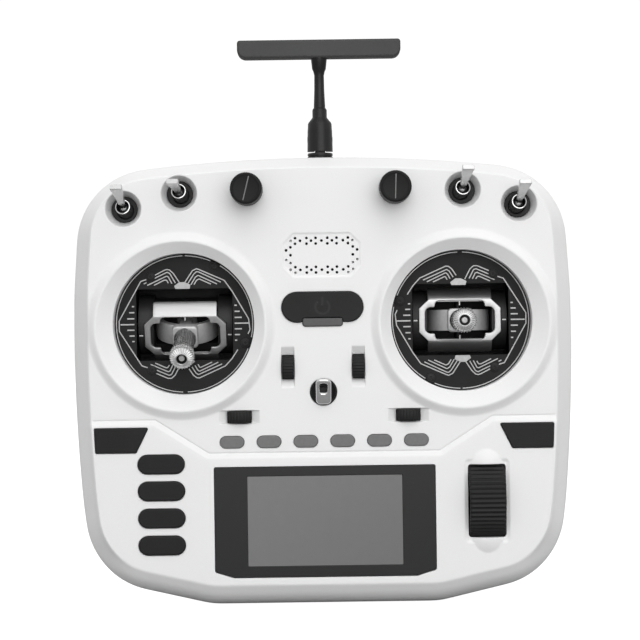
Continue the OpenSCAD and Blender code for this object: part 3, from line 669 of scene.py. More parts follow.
def shell(name, node, relief, rings, holes, rows, step, wall, to_world):
    """A moulded half of the case: a flank of rings, a face with relief and openings, and a wall behind."""
    loops = [offset(h.loop, h.lead[0][0]) for h in holes]
    flat, tris, outer, hole_ids = fill(rings[-1][0], loops, rows, step)
    n = len(flat)
    gap = 0.02
    x, z = flat.T
    slope_x = (relief(x + gap, z) - relief(x - gap, z)) / (2 * gap)
    slope_z = (relief(x, z + gap) - relief(x, z - gap)) / (2 * gap)
    verts = [raise_to(flat, relief(x, z))]
    faces = [tuple(t) for t in tris]
    count = n
    ring_ids = []
    for loop, h in rings[:-1]:
        ring_ids.append(list(range(count, count + len(loop))))
        verts.append(raise_to(loop, h))
        count += len(loop)
    ring_ids.append(outer)
    for a, b in zip(ring_ids, ring_ids[1:]):
        faces += strip(a, b)
    skin = np.concatenate(verts)
    normals = vertex_normals(skin, faces)
    normals[:n] = np.column_stack([-slope_x, -slope_z, np.ones(n)])
    normals /= np.linalg.norm(normals, axis=1)[:, None]
    depth = wall * normals
    depth[:n] = (0, 0, wall)
    inner = skin - depth
    for hole in holes:
        if hole.room:
            arm = inner[:, :2] - hole.loop.mean(0)
            far = np.hypot(arm[:, 0], arm[:, 1])
            push = np.where(inner[:, 2] > hole.bottom - 1, np.maximum(hole.room / far - 1, 0), 0)
            inner[:, :2] += arm * push[:, None]
    m = len(skin)
    faces += [tuple(i + m for i in f[::-1]) for f in faces]
    first = ring_ids[0]
    faces += strip([i + m for i in first], first)
    all_verts, all_normals = [skin, inner], [normals, -normals]
    count = 2 * m
    for hole, ids in zip(holes, hole_ids):
        top = skin[ids, 2]
        rings_here = [(offset(hole.loop, o), top + d) for o, d in hole.lead[1:]]
        rings_here.append((offset(hole.loop, hole.lead[-1][0]), np.full(len(top), hole.bottom)))
        own = np.concatenate([skin[ids]] + [raise_to(p, h) for p, h in rings_here])
        k = len(ids)
        index = [list(range(j * k, (j + 1) * k)) for j in range(len(rings_here) + 1)]
        quads = [q for a, b in zip(index, index[1:]) for q in strip(a, b)]
        all_verts.append(own[k:])
        all_normals.append(vertex_normals(own, quads)[k:])
        real = [*ids, *range(count, count + len(own) - k)]
        faces += [tuple(real[i] for i in q) for q in quads]
        last = real[-k:]
        behind = [i + m for i in ids]
        if hole.floor:
            faces += [tuple(last), tuple(behind[::-1])]
        else:
            faces += strip(last, behind)
        count += len(own) - k
    turned = np.concatenate(all_normals) @ np.array(to_world)[:3, :3].T
    Part().add((np.concatenate(all_verts), faces), to_world).build(
        name, WHITE, "case", node, normals=turned.tolist())


def vertex_normals(verts, faces):
    """Area-weighted normals."""
    out = np.zeros_like(verts)
    for size in (3, 4):
        f = np.array([q for q in faces if len(q) == size])
        if not len(f):
            continue
        a, b, c = verts[f[:, 0]], verts[f[:, 1]], verts[f[:, 2]]
        area = np.cross(c - a, verts[f[:, -1]] - b)
        for k in range(size):
            np.add.at(out, f[:, k], area)
    length = np.linalg.norm(out, axis=1)
    return out / np.maximum(length, 1e-12)[:, None]


def power_loop(gap, half, level, n):
    """The power key's stadium, with the light bar's bump or notch below it, half wide on each side."""
    step = rounded([(-half, LIGHT_TOP), (-half, level), (half, level), (half, LIGHT_TOP)], (0, 1.2, 1.2, 0))
    ends = [arc(e * POWER_HALF, POWER_Z, POWER_R + gap, -90 * e, 180 - 90 * e, n) for e in (1, -1)]
    return join(*ends, step)


def window_loop(grow):
    w = 43.2 + grow
    return rounded([(w, 15 - grow), (w, 55.9 + grow), (-w, 55.9 + grow), (-w, 15 - grow),
                    (-w + 7.6, 12.65 - grow), (w - 7.6, 12.65 - grow)], (1, 0.8, 0.8, 1, 2, 2))


def page_key_loop(side, grow):
    p = np.array([(89.4 + grow, 62 - grow), (89.8 + grow, 71.7 + grow), (68.7 - grow * 1.4, 71.7 + grow),
                  (73.6 - grow, 62 - grow)])
    return rounded(p, 0.6) if side > 0 else rounded(p[::-1] * np.array([-1, 1]), 0.6)


def grille():
    """Places of the speaker's through holes, and of the shallow dimples beside them."""
    through = [(x, z) for x in (2.3, 5.9, 10.35) for z in (145.15, 142.95, 133.8)]
    through += [(2.3, 131.6), (5.9, 131.6), (4.1, 144.1), (8.4, 144.1), (4.1, 132.7), (8.4, 132.7)]
    through += [(12.2, 141.6), (13.9, 140.4), (12.2, 138.5)]
    dimples = [(12.1, 144.1), (13.9, 136.6), (12.2, 135.4), (12.2, 132.8), (10.35, 131.6)]
    both = [[(s * x, z) for x, z in places for s in (-1, 1)] for places in (through, dimples)]
    return both[0] + [(0, 144.1), (0, 132.7)], both[1]


def front_holes():
    holes = []
    well_lead = [(0.5, 0), (0.2, -0.12), (0, -0.5), (-0.8, -3), (-1.65, -5.4), (-1.75, -5.9)]
    grown = [[v + 2 * KEY_GAP for v in key] for key in (FUNCTION_KEY, MENU_KEY)]
    for s in (-1, 1):
        holes.append(Hole(circle(s * GIMBAL[0], GIMBAL[1], OPEN_R, 160), 0.35, -9))
        for x, z in WELLS:
            holes.append(Hole(circle(s * x, z, 6.9, 56), 0.4, -6.4, lead=well_lead, room=WELL_LIP_R - 0.3))
        holes.append(Hole(circle(s * DIALS[0], DIALS[1], 4, 32), 0.2, -3))
        for slot, (x, z) in ((TRIM_SLOT, TRIM_UP), (TRIM_SLOT[::-1], TRIM_FLAT)):
            holes.append(Hole(resample(rrect(*slot, 0.4, s * x, z), 0.6), 0.06, -6))
        holes.append(Hole(resample(page_key_loop(s, KEY_GAP), 1.5), 0.25, -3))
    holes += [Hole(stadium(*grown[0], x, FUNCTION_Z), 0.2, -3) for x in FUNCTION_X]
    holes += [Hole(stadium(*grown[1], MENU_X, z), 0.25, -3) for z in MENU_Z]
    power = power_loop(KEY_GAP, LIGHT_HALF + KEY_GAP, LIGHT_LOW - KEY_GAP, 17)
    holes.append(Hole(resample(power, 2), 0.25, -3))
    holes.append(Hole(circle(0, EYELET_Z, 5.35, 48), 0.3, -4))
    holes.append(Hole(resample(window_loop(0.15), 2), 0.15, -2.4))
    holes.append(Hole(resample(rrect(*WHEEL_SLOT, 1.2, *WHEEL), 1), 0.3, -6))
    through, dimples = grille()
    holes += [Hole(circle(x, z, 0.55, 14), 0.1, -1.9) for x, z in through]
    holes += [Hole(circle(x, z, 0.5, 14), 0.12, -0.75, floor=True) for x, z in dimples]
    return holes


def front_rows():
    """Extra points where the relief bends."""
    rows = [resample(offset(DECK_AREA, -d), 0.9) for d in (-0.8, -0.45, -0.15, 0.15, 0.5, 1.0, 1.6, 2.2)]

    def around_trims(across, along):
        across, along = np.broadcast_arrays(across, along)
        rows.append(columns(s * TRIM_UP[0] + across, TRIM_UP[1] + along))
        rows.append(columns(s * TRIM_FLAT[0] + along, TRIM_FLAT[1] + across))

    for s in (-1, 1):
        for r in (28.4, 29.2, 30.2, 31.2):
            rows.append(circle(s * GIMBAL[0], GIMBAL[1], r, 200))
        for r in (32, 32.5, 32.8, 33, 33.3, 33.8, 34.5, 35.3, 36.2, 37.2):
            rows.append(circle(s * (GIMBAL[0] + 1), GIMBAL[1] - 0.8, r, 220))
        for a in (-0.12, 0.0, 0.08, 0.16, 0.35):
            for t in (-1, 1):
                around_trims(t * (SCOOP_HALF + a), np.linspace(-8.4, 8.4, 71))
        for a in np.linspace(5.1, 8.4, 12):
            for t in (-1, 1):
                around_trims(np.linspace(-2.3, 2.3, 7), t * a)
    rows += [resample(offset(SPEAKER_AREA, -d), 0.7) for d in (-0.3, 0, 0.3, 0.6, 0.9, 1.2, 1.6)]
    rows += [resample(offset(rrect(*WHEEL_FRAME, 2, *WHEEL), -d), 0.7) for d in np.linspace(-0.2, 2, 8)]
    a = np.linspace(0, math.pi, 26)
    for r in np.linspace(0.5, 1.1, 9):
        for t in (-1, 1):
            rows.append(columns(WHEEL[0] + HUMP[0] * r * np.cos(a),
                                WHEEL[1] + t * (WHEEL_SLOT[1] / 2 + HUMP[1] * r * np.sin(a))))
    return rows


def build_front_shell():
    insets = (0.05, 0.2, 0.5, 1.0, 1.7, 2.4, 3.1, 3.9, 4.7, 5.5, 6.2, 6.7, 7.0, 7.2, 7.4, 7.6, 7.8, 8.0)
    rings = [(case_ring(0), -22.9), (case_ring(0), -20.0)]
    for i in insets:
        loop = clear_wells(case_ring(i), i)
        share = smooth((i - 5.6) / 2.2)
        rings.append((loop, front_flank(i) + share * front_height(loop[:, 0], loop[:, 1])))
    shell("front_skin", "front_shell", front_height, rings, front_holes(), front_rows(), 2.4, WALL, face())


def rear_height(x, z, base=0.0):
    """The back with its two grips; base is the height of the flank there."""
    h = base + 0 * x
    for side in (-1, 1):
        s = box_distance(x - side * GRIP[0], z - GRIP[1], GRIP_W / 2, GRIP_H / 2, GRIP_R)
        t = np.clip(s / 12, 0, 1)
        grip = np.where(s > 0, -5 + 21 * np.sqrt(1 - (1 - t) ** 2), -5 + 5 * s)
        h = -smooth_min(-h, -grip, 2.5)
    return h


def build_rear_shell():
    insets = (0.1, 0.3, 0.6, 1.0, 1.6, 2.4, 3.4, 4.6, 5.9, 7.2, 8.5, 9.8, 10.5, 11)
    flip = np.array([-1, 1])
    rings = [(case_ring(0), np.full(len(OUTLINE), -18.9))]
    for i in insets:
        loop = case_ring(i, 0)
        h = max(BACK_D * math.sqrt(1 - (1 - i / insets[-1]) ** 2) - BACK_D, -18.8)
        rings.append((loop, rear_height(loop[:, 0], loop[:, 1], h)))
    rings = [((loop * flip)[::-1], np.asarray(h)[::-1]) for loop, h in rings]
    rows = []
    for side in (-1, 1):
        for d in (-2, -1, -0.4, 0, 0.3, 0.7, 1.2, 2, 3, 4.2, 5.6, 7.2, 9, 11, 13):
            ring = rrect(GRIP_W - 2 * d, GRIP_H - 2 * d, GRIP_R - d, side * GRIP[0], GRIP[1], 14)
            rows.append(resample(ring, 1.6))
    holes = [Hole(circle(s * x, z, 2.8, 28), 0.2, -3.0) for x, z in CASE_SCREWS for s in (-1, 1)]
    shell("rear_skin", "rear_shell", rear_height, rings, holes, rows, 3.0, WALL, back())


build_front_shell()
build_rear_shell()


# ---------- rear fittings ----------

def build_rear_fittings():
    pads, door, cover = Part(), Part(), Part()
    for s in (-1, 1):
        pads.add(slab(rrect(14, 80, 6, n=10), 15.6, 17.2, 0, 0.6), back(s * GRIP[0], GRIP[1]))
        for k in range(-9, 10):
            pads.add(slab(stadium(10, 1.6), 17.0, 17.32, 0, 0.3, 3), back(s * GRIP[0], GRIP[1] + 3.9 * k))
    pads.build("grip_pad_rubber", RUBBER, "case", "grip_pads")
    door.add(slab(rrect(74, 50, 5, n=10), 0.25, 2.6, 0, 0.7), back(0, DOOR_Z))
    for k in range(4):
        door.add(slab(stadium(18, 1.2), 2.5, 2.95, 0, 0.25, 3), back(0, DOOR_Z + 18.6 - 2.4 * k))
    door.build("battery_cover", WHITE, "battery_door", "battery_door")
    cover.add(slab(rrect(62, 52, 6, n=10), 0.25, 5.0, 0, 1.6, 6), back(0, COVER_Z))
    cover.add(slab(rrect(48, 38, 4, n=10), 4.8, 5.3, 0, 0.25), back(0, COVER_Z))
    for s in (-1, 1):
        cover.add(slab(rrect(1.8, 18, 0.9), 4.9, 5.35, 0, 0.3, 3), back(s * 27, COVER_Z))
    cover.build("bay_cover", WHITE, "module_cover", "module_cover")


build_rear_fittings()


# ---------- gimbals ----------

# lines printed on the left faceplate, in its own frame
TRACES = (
    [(0.4, 16.5), (3.4, 21.0), (5.0, 21.75), (6.0, 21.4), (15.9, 17.0), (19.0, 12.6), (25.3, 1.7),
     (25.8, -2.6), (25.0, -4.3)],
    [(20.9, -10.4), (18.6, -13.9), (15.9, -16.8), (5.6, -21.4), (4.5, -21.3), (3.2, -20.25),
     (1.5, -17.7)],
    [(1.5, 15.9), (3.95, 19.7), (5.0, 20.6), (5.7, 20.5), (14.5, 16.3)],
    [(2.7, 15.4), (4.5, 18.4), (5.5, 19.1), (6.0, 18.95), (13.0, 15.6)],
    [(3.95, 15.5), (5.0, 17.2), (6.0, 17.7), (10.6, 15.6)],
    [(2.7, -17.0), (4.2, -19.4), (5.2, -20.1), (14.6, -16.0)],
    [(3.9, -16.4), (4.9, -18.2), (5.6, -18.8), (13.1, -15.3)],
    [(5.1, -16.0), (5.8, -17.4), (10.7, -15.2)],
    [(-1.9, 16.5), (-4.2, 20.0), (-5.7, 21.4), (-6.75, 21.6), (-7.9, 21.2), (-11.4, 19.4)],
    [(-3.4, 16.2), (-5.6, 20.0), (-6.6, 20.5), (-11.5, 18.2)],
    [(-4.8, 16.0), (-6.2, 18.7), (-6.9, 18.95), (-14.5, 15.4)],
    [(-6.2, 16.2), (-6.9, 17.4), (-7.8, 17.4), (-11.85, 15.4)],
    [(-14.9, 17.7), (-17.1, 17.0), (-25.8, 1.5), (-25.8, -2.6), (-17.1, -16.3), (-14.8, -17.1)],
    [(-14.8, 16.5), (-15.9, 16.0)],
    [(-1.9, -16.2), (-4.0, -20.2), (-5.4, -21.4), (-6.8, -21.4), (-11.4, -19.4)],
    [(-3.6, -16.4), (-5.4, -19.9), (-6.4, -20.2), (-11.3, -18.1)],
    [(-4.9, -16.2), (-6.0, -18.5), (-6.7, -18.8), (-13.6, -15.8)],
    [(-6.2, -16.2), (-6.9, -17.2), (-7.6, -17.2), (-11.8, -15.3)],
)


def build_plate(side, name):
    """The printed faceplate: board, traces, scale bars, pads and the silver rim."""
    turn = gimbal(side) @ rotate(0 if side < 0 else 180, "Z")
    top = PLATE_FRONT
    holes = [rrect(38, 28.2, 1.2, 0, -0.3)] + [circle(x, y, 1.35, 20) for x, y in PLATE_SCREWS]
    board = Part().add(plate(circle(0, 0, 27.5, 144), holes, top - 1.5, top), turn)
    board.build(f"{name}_plate", PLATE, "case", "gimbal_faceplates")
    ink = Part()
    low, high = top - 0.1, top + 0.07
    for y, length in ((7.1, 0.9), (4.7, 2.0), (2.3, 2.8), (0.0, 5.5), (-2.2, 2.8), (-4.5, 2.0),
                      (-6.7, 0.9)):
        for e in (-1, 1):
            ink.add(ribbon([(e * 19.8, y), (e * (19.8 + length), y)], 0.5, low, high), turn)
    for e in (-1, 1):
        pad = rounded([(-3.4, 13.85), (2.2, 13.85), (2.55, 15.4), (0.3, 16.5), (-1.9, 16.5), (-3.95, 15.0)],
                      0.2, 3)
        ink.add(slab(e * pad, low, high + 0.1, 0, 0.05, 2), turn)
    for path in TRACES:
        ends = [0] + [0.5] * (len(path) - 2) + [0]
        ink.add(ribbon(rounded(path, ends, 4), 0.4, low, high), turn)
    ink.build(f"{name}_print", PRINT, "case", None, "gimbal_board")
    rim = Part()
    for a0, a1 in ((-12, 58), (67, 89), (91, 268), (272, 338)):
        rim.add(ribbon(arc(0, 0, 26.9, a0, a1, 2 + (a1 - a0) // 2), 0.35, top - 0.6, top + 0.1), turn)
    rim.build(f"{name}_rim", PRINT, "case", None, "gimbal_board")
    heads = Part()
    head = [(1.7, 0), (1.8, 0.3), (1.7, 0.6), (1.3, 0.8), (0.75, 0.85), (0.65, 0.4)]
    for x, y in PLATE_SCREWS:
        heads.add(lathe(head, 32), turn @ move(x, y, top - 0.2))
    heads.build(f"{name}_screw_heads", PLASTIC, "case", None, "screw_black")


def bend_saddle(p):
    """Folds the flat blank into the arch with its raised flat."""
    crease = math.sqrt(SADDLE_R ** 2 - SADDLE_FLAT ** 2)
    depth = 1.3 - p[:, 2]
    s = np.abs(p[:, 1])
    angle = math.asin(crease / SADDLE_R) + (s - crease) / SADDLE_R
    on_arc = s > crease
    y = np.where(on_arc, (SADDLE_R - depth) * np.sin(angle), s)
    z = np.where(on_arc, (SADDLE_R - depth) * np.cos(angle), SADDLE_FLAT - depth)
    return columns(p[:, 0], np.sign(p[:, 1]) * y, z)


def build_saddle(side, tilt, name, body, node):
    """The bent aluminium sheet with its cross-shaped slot."""
    blank = rounded(twofold([(12.7, -15.0), (12.7, -8.1), (16.3, -4.7), (16.3, 4.7), (12.7, 8.1),
                             (12.7, 15.0)]), (1, 0.5, 1, 1, 0.5, 1) * 2)
    slot = rounded(twofold([(13.8, -5.2), (13.8, 5.2), (9.9, 5.2), (9.9, 7.9), (-9.9, 7.9), (-9.9, 5.2)]),
                   (2.2, 2.2, 0.6, 2.0, 2.0, 0.6) * 2)
    rows = [columns(np.linspace(-16, 16, 33), np.full(33, y))
            for y in (-8.16, -8.0, 8.0, 8.16)]
    part = Part()
    part.add(sheet(resample(blank, 1.2), [resample(slot, 1.2)], 1.3, 0.3, 1.3, bend_saddle, rows),
             gimbal(side, tilt))
    part.build(name, SADDLE, body, node)


def build_stick(side, tilt, name, body, node):
    """The stick's base collar, fluted shaft and toothed crown."""
    part = Part()
    base, tip = 14.65, STICK_LEN
    shaft = [(4.1, base, 0), (4.3, base + 0.3, 0), (4.3, base + 2.0, 0), (4.0, base + 2.5, 0.1),
             (3.95, base + 3.4, 0.3)]
    shaft += [(r, tip - d, flute) for r, d, flute in (
        (4.0, 8.4, 0.35), (4.15, 7.4, 0.35), (4.75, 5.6, 0.4), (4.9, 5.0, 0.4), (4.85, 4.4, 0.45),
        (4.5, 4.1, 0.3), (4.5, 3.9, 0.3), (4.95, 3.4, 0.45), (4.95, 2.9, 0.45), (4.5, 2.6, 0.3),
        (4.5, 2.4, 0.3), (4.9, 1.9, 0.5), (4.75, 1.3, 0.55), (4.2, 0.75, 0.55), (3.5, 0.35, 0.55),
        (2.8, 0.1, 0.4), (2.35, 0, 0.15), (2.15, 0.05, 0), (2.05, 0.25, 0), (2.0, 1.7, 0))]
    part.add(toothed(shaft, STICK_TEETH, 192), gimbal(side, tilt))
    part.build(name, STICK, body, node, sharp=50)
    for word, mat, profile in (
            ("screw", BLOCK, [(1.15, -1.7), (1.15, -1.0), (1.0, -0.8), (0.55, -0.75), (0.5, -1.2)]),
            ("recess", PLASTIC, [(2.02, -1.8), (2.02, -0.7), (1.9, -0.7), (1.85, -1.6)])):
        inset = lathe([(r, tip + h) for r, h in profile], 40)
        Part().add(inset, gimbal(side, tilt)).build(f"{name}_{word}", mat, body)


def build_stick_block(side, tilt, name, body, node):
    """The half drum under the saddle with the stick's square foot, and the pin they turn on."""
    place = gimbal(side, tilt)
    across = place @ rotate(90, "X")
    part, pin = Part(), Part()
    rim = join(arc(0, 0, DRUM_R, -20, 200, 72), arc(0, 0, DRUM_R - 2.2, 200, -20, 72))
    part.add(slab(rim, -4.2, 4.2, 0.25, 0.25), across)
    part.add(slab(rrect(5, 8.2, 0.4), 1, DRUM_R - 1), place)
    part.add(slab(rrect(10.2, 9.4, 1.8, n=8), DRUM_R - 1.4, DRUM_R + 2.2, 0.3, 0.8), place)
    part.add(slab(circle(0, 0, 4, 48), -4.2, 4.2), across)
    part.build(name, BLOCK, body, node, sharp=40)
    pin.add(slab(circle(0, 0, 1.5, 32), -9.8, 9.8, 0.2, 0.2), across)
    pin.build(f"{name}_pin", SCREW, body)


def build_yoke_marks(side, tilt, name, body):
    """The white ticks printed on the yoke frame."""
    part = Part()
    for w, h, x, y, low in ((0.45, 2.7, 0, 7.25, 10.95), (1.5, 0.5, 17.6, 0, 11.9)):
        for e in (-1, 1):
            part.add(slab(rrect(w, h, 0.1), low, low + 0.17, 0, 0.03, 2),
                     gimbal(side, tilt) @ move(e * x, e * y, 0))
    part.build(name, MARK, body, None, "gimbal_black")


for side, tilt, word in ((-1, THROTTLE_REST, "left"), (1, 0.0, "right")):
    build_plate(side, f"{word}_gimbal")
    build_saddle(side, tilt, f"{word}_saddle_sheet", f"{word}_yoke", f"{word}_saddle")
    build_stick(side, tilt, f"{word}_stick_grip", f"{word}_stick", f"{word}_stick_end")
    build_stick_block(side, tilt, f"{word}_stick_drum", f"{word}_stick", f"{word}_stick_block")
    build_yoke_marks(side, tilt, f"{word}_yoke_marks", f"{word}_yoke")


# ---------- toggles, dials, trims ----------

def build_toggles():
    bodies, rings, discs = Part(), Part(), Part()
    k = 0
    for side, i, swing in ((-1, 0, -1), (-1, 1, 0), (1, 1, -1), (1, 0, -1)):
        k += 1
        place = switch(side, i)
        profile = [(3.05, -8.0)]
        for j in range(8):
            profile += [(3.05, -3.4 + 0.7 * j), (2.88, -3.05 + 0.7 * j)]
        profile += [(2.95, 2.3), (2.9, 2.7), (2.55, 2.72), (2.5, 2.6), (2.5, -2.6)]
        bodies.add(lathe(profile, 56), place)
        bodies.add(slab(rrect(13, 8, 0.5), -18, -7.8, 0.3, 0.3), place)
        rings.add(lathe([(2.45, 2.3), (2.88, 2.3), (2.95, 2.75), (2.85, 2.98), (2.65, 3.03), (2.5, 2.95),
                         (2.45, 2.7)], 56, closed=True), place)
        x, z = WELLS[i]
        shift = np.array(RINGS[i]) - np.array(WELLS[i])
        centre = (side * (shift[0] - 0.55), shift[1] - 1.37)
        discs.add(plate(circle(0, 0, 5.08, 56), [circle(*centre, 3.25, 40)], -5.5, -4.85, 0.15),
                  face(side * x, z))
        lever = Part()
        turned = switch(side, i, swing * LEVER_THROW)
        sections = [(0.0, 1.6, 1.6), (1.2, 2.0, 1.9), (4.5, 2.5, 1.9), (10, 3.4, 2.0), (16.1, 4.7, 2.2),
                    (16.45, 4.6, 2.1), (16.6, 4.3, 1.8)]
        lever.add(stack([raise_to(rrect(w, t, min(0.45, t / 2.2), n=5), h) for h, w, t in sections]), turned)
        lever.add(lathe([(0.3, -2.0), (1.2, -1.7), (1.9, -0.8), (2.08, 0), (1.9, 0.8), (1.2, 1.7),
                         (0.5, 2.0)], 32), turned)
        lever.build(f"lever_{k}", STEEL, f"toggle_lever_{k}", f"toggle_lever_{k}")
    bodies.build("toggle_bushings", PLASTIC, "case", "toggle_switches")
    rings.build("toggle_rings", CHROME, "case")
    discs.build("toggle_washers", PLASTIC, "case", "toggle_discs")


def build_dials():
    for side, word, angle in ((-1, "left", -14), (1, "right", -2)):
        place = face(side * DIALS[0], DIALS[1])
        profile = [(1.45, -7.4), (1.45, 0.8), (5.9, 0.85), (6.15, 1.1), (6.28, 1.5), (6.28, 10.9),
                   (6.15, 11.9), (5.85, 12.3), (5.5, 12.42), (5.2, 12.4), (5.05, 12.15), (4.9, 12.1)]

        def knurl(k, a):
            return -KNURL_DEPTH.get(k, 0.0) * (0.5 + 0.5 * np.cos(KNURLS * a))

        knob = Part().add(lathe(profile, KNURLS * 4, knurl), place)
        knob.build(f"{word}_dial_cap", DIAL, f"{word}_dial", f"{word}_dial_knob", sharp=50)
        line = Part().add(slab(rrect(0.42, 9.6, 0.2), 12.05, 12.22, 0, 0.05, 2), place @ rotate(angle, "Z"))
        line.build(f"{word}_dial_pointer", POINTER, f"{word}_dial", None, "dial_black")


def ribbed_bar(radius, ribs, depth, a0, a1, half_w):
    """A sector across local x whose rim is ribbed."""
    n = ribs * 8
    a = np.radians(np.linspace(a0, a1, n))
    wave = depth * (0.5 - 0.5 * np.cos(np.linspace(0, 2 * math.pi * ribs, n))) ** 0.6
    r = radius - wave
    rim = columns(r * np.sin(a), r * np.cos(a))
    section = join(rim, rim[[-1, 0]] * 0.2)
    rings = []
    ends = ((half_w, 0.25), (half_w - 0.08, 0.1), (half_w - 0.25, 0.0))
    for x, shrink in ends + tuple((-x, shrink) for x, shrink in ends[::-1]):
        rings.append(np.column_stack([np.full(len(section), x), section * (1 - shrink / radius)]))
    return stack(rings[::-1])


def build_trims():
    for side, word in SIDES:
        for kind, (x, z), turn in (("vertical", TRIM_UP, 0), ("horizontal", TRIM_FLAT, 90)):
            place = face(side * x, z, -4) @ rotate(turn, "Z")
            part = Part().add(ribbed_bar(6.2, TRIM_RIBS, 0.2, 48, -48, 2.32), place)
            node = f"{word}_{kind}_trim"
            part.build(f"{node}_knob", BLACK_KEY, node, node, sharp=50)


build_toggles()
build_dials()
build_trims()


# ---------- keys, display, eyelet ----------

def key_cap(name, node, mat, loop, top, edge, place=face()):
    """One key top, whose node and body share a name."""
    Part().add(slab(loop, KEY_FOOT, top, 0, edge), place).build(name, mat, node, node)


def build_keys():
    for i, x in enumerate(FUNCTION_X, 1):
        key_cap(f"function_key_{i}", f"function_button_{i}", GREY_KEY, stadium(*FUNCTION_KEY), 0.5, 0.3,
                face(x, FUNCTION_Z))
    for i, z in enumerate(MENU_Z, 1):
        key_cap(f"menu_key_{i}", f"menu_button_{i}", BLACK_KEY, stadium(*MENU_KEY), DECK + 0.7, 0.45,
                face(MENU_X, z))
    for side, word in SIDES:
        key_cap(f"{word}_page_cap", f"{word}_page_key", BLACK_KEY, page_key_loop(side, 0), DECK + 0.5, 0.35)
    notch = 113.9
    key_cap("power_cap", "power_button", BLACK_KEY, power_loop(0, LIGHT_HALF + 0.2, notch, 21), 0.9, 0.3)
    symbol = Part()
    symbol.add(ribbon(arc(0, POWER_Z + 0.05, 2.75, 128, 412, 40), 0.85, 0.85, 0.94), face())
    symbol.add(slab(rrect(0.85, 3.4, 0.42, 0, POWER_Z + 2.25), 0.85, 0.94, 0, 0), face())
    symbol.build("power_symbol", SYMBOL, "power_button", None, "key_black")
    lens = rounded([(-LIGHT_HALF, LIGHT_LOW), (LIGHT_HALF, LIGHT_LOW), (LIGHT_HALF, notch - 0.15),
                    (-LIGHT_HALF, notch - 0.15)], (1.1, 1.1, 0.5, 0.5))
    bar = Part().add(slab(lens, -3, 0.7, 0, 0.3), face())
    bar.build("light_bar_lens", LIGHT_BAR, "case", "power_light_bar")


def build_display():
    screen = rrect(60.6, 35.15, 0.4, 0, 34.62, 4)
    bezel = Part().add(plate(window_loop(0), [screen], -1.05, 0.55, 0.2), face())
    bezel.build("display_bezel", BEZEL, "case", "display_window")
    glass = Part().add(slab(offset(screen, -0.03), -1.0, 0.42, 0, 0.05, 2), face())
    glass.build("display_glass", SCREEN, "case")


def build_eyelet():
    place = face(0, EYELET_Z + 0.35, 3.35) @ rotate(28, "X") @ move(0, 0, -0.9)
    outline = resample(rrect(6.0, 11.2, 1.9, n=10), 0.6)
    hole = resample(rrect(2.9, 4.4, 1.0, 0, 1.6, 8), 0.5)
    part = Part().add(sheet(outline, [hole], 1.8, 0.7, 0.6), place)
    part.build("eyelet_plate", CHROME, "case", "strap_eyelet", sharp=40)
    cup = Part()
    cup.add(lathe([(5.2, -4.3), (5.2, 0.0), (5.1, 0.1), (4.8, 0.1), (4.65, -0.1), (4.6, -3.6)], 64),
            face(0, EYELET_Z))
    cup.add(lathe([(2.2, -3.8), (2.2, -0.2), (1.8, 0.4)], 40), face(0, EYELET_Z))
    cup.build("eyelet_well", PLASTIC, "case", "eyelet_cup")


build_keys()
build_display()
build_eyelet()


# ---------- wheel and antenna ----------

def build_wheel():
    place = face(*WHEEL, AXLE_H) @ rotate(90, "Y")
    rim = [(15.6, 0.9, 0), (15.9, 0.1, 0), (17.6, 0, 0), (18.2, 0.15, 0.35), (18.45, 0.5, 0.4),
           (18.5, 1.0, 0.42)]
    near = [(r, d - WHEEL_W / 2, rib) for r, d, rib in rim]
    part = Part()
    part.add(toothed(near + [(r, -h, rib) for r, h, rib in near[::-1]], WHEEL_RIBS, WHEEL_RIBS * 8), place)
    part.add(lathe([(1.5, -8.7), (1.5, 8.7)], 32), place)
    part.build("ribbed_wheel", BLACK_KEY, "scroll_wheel", "scroll_wheel", sharp=50)


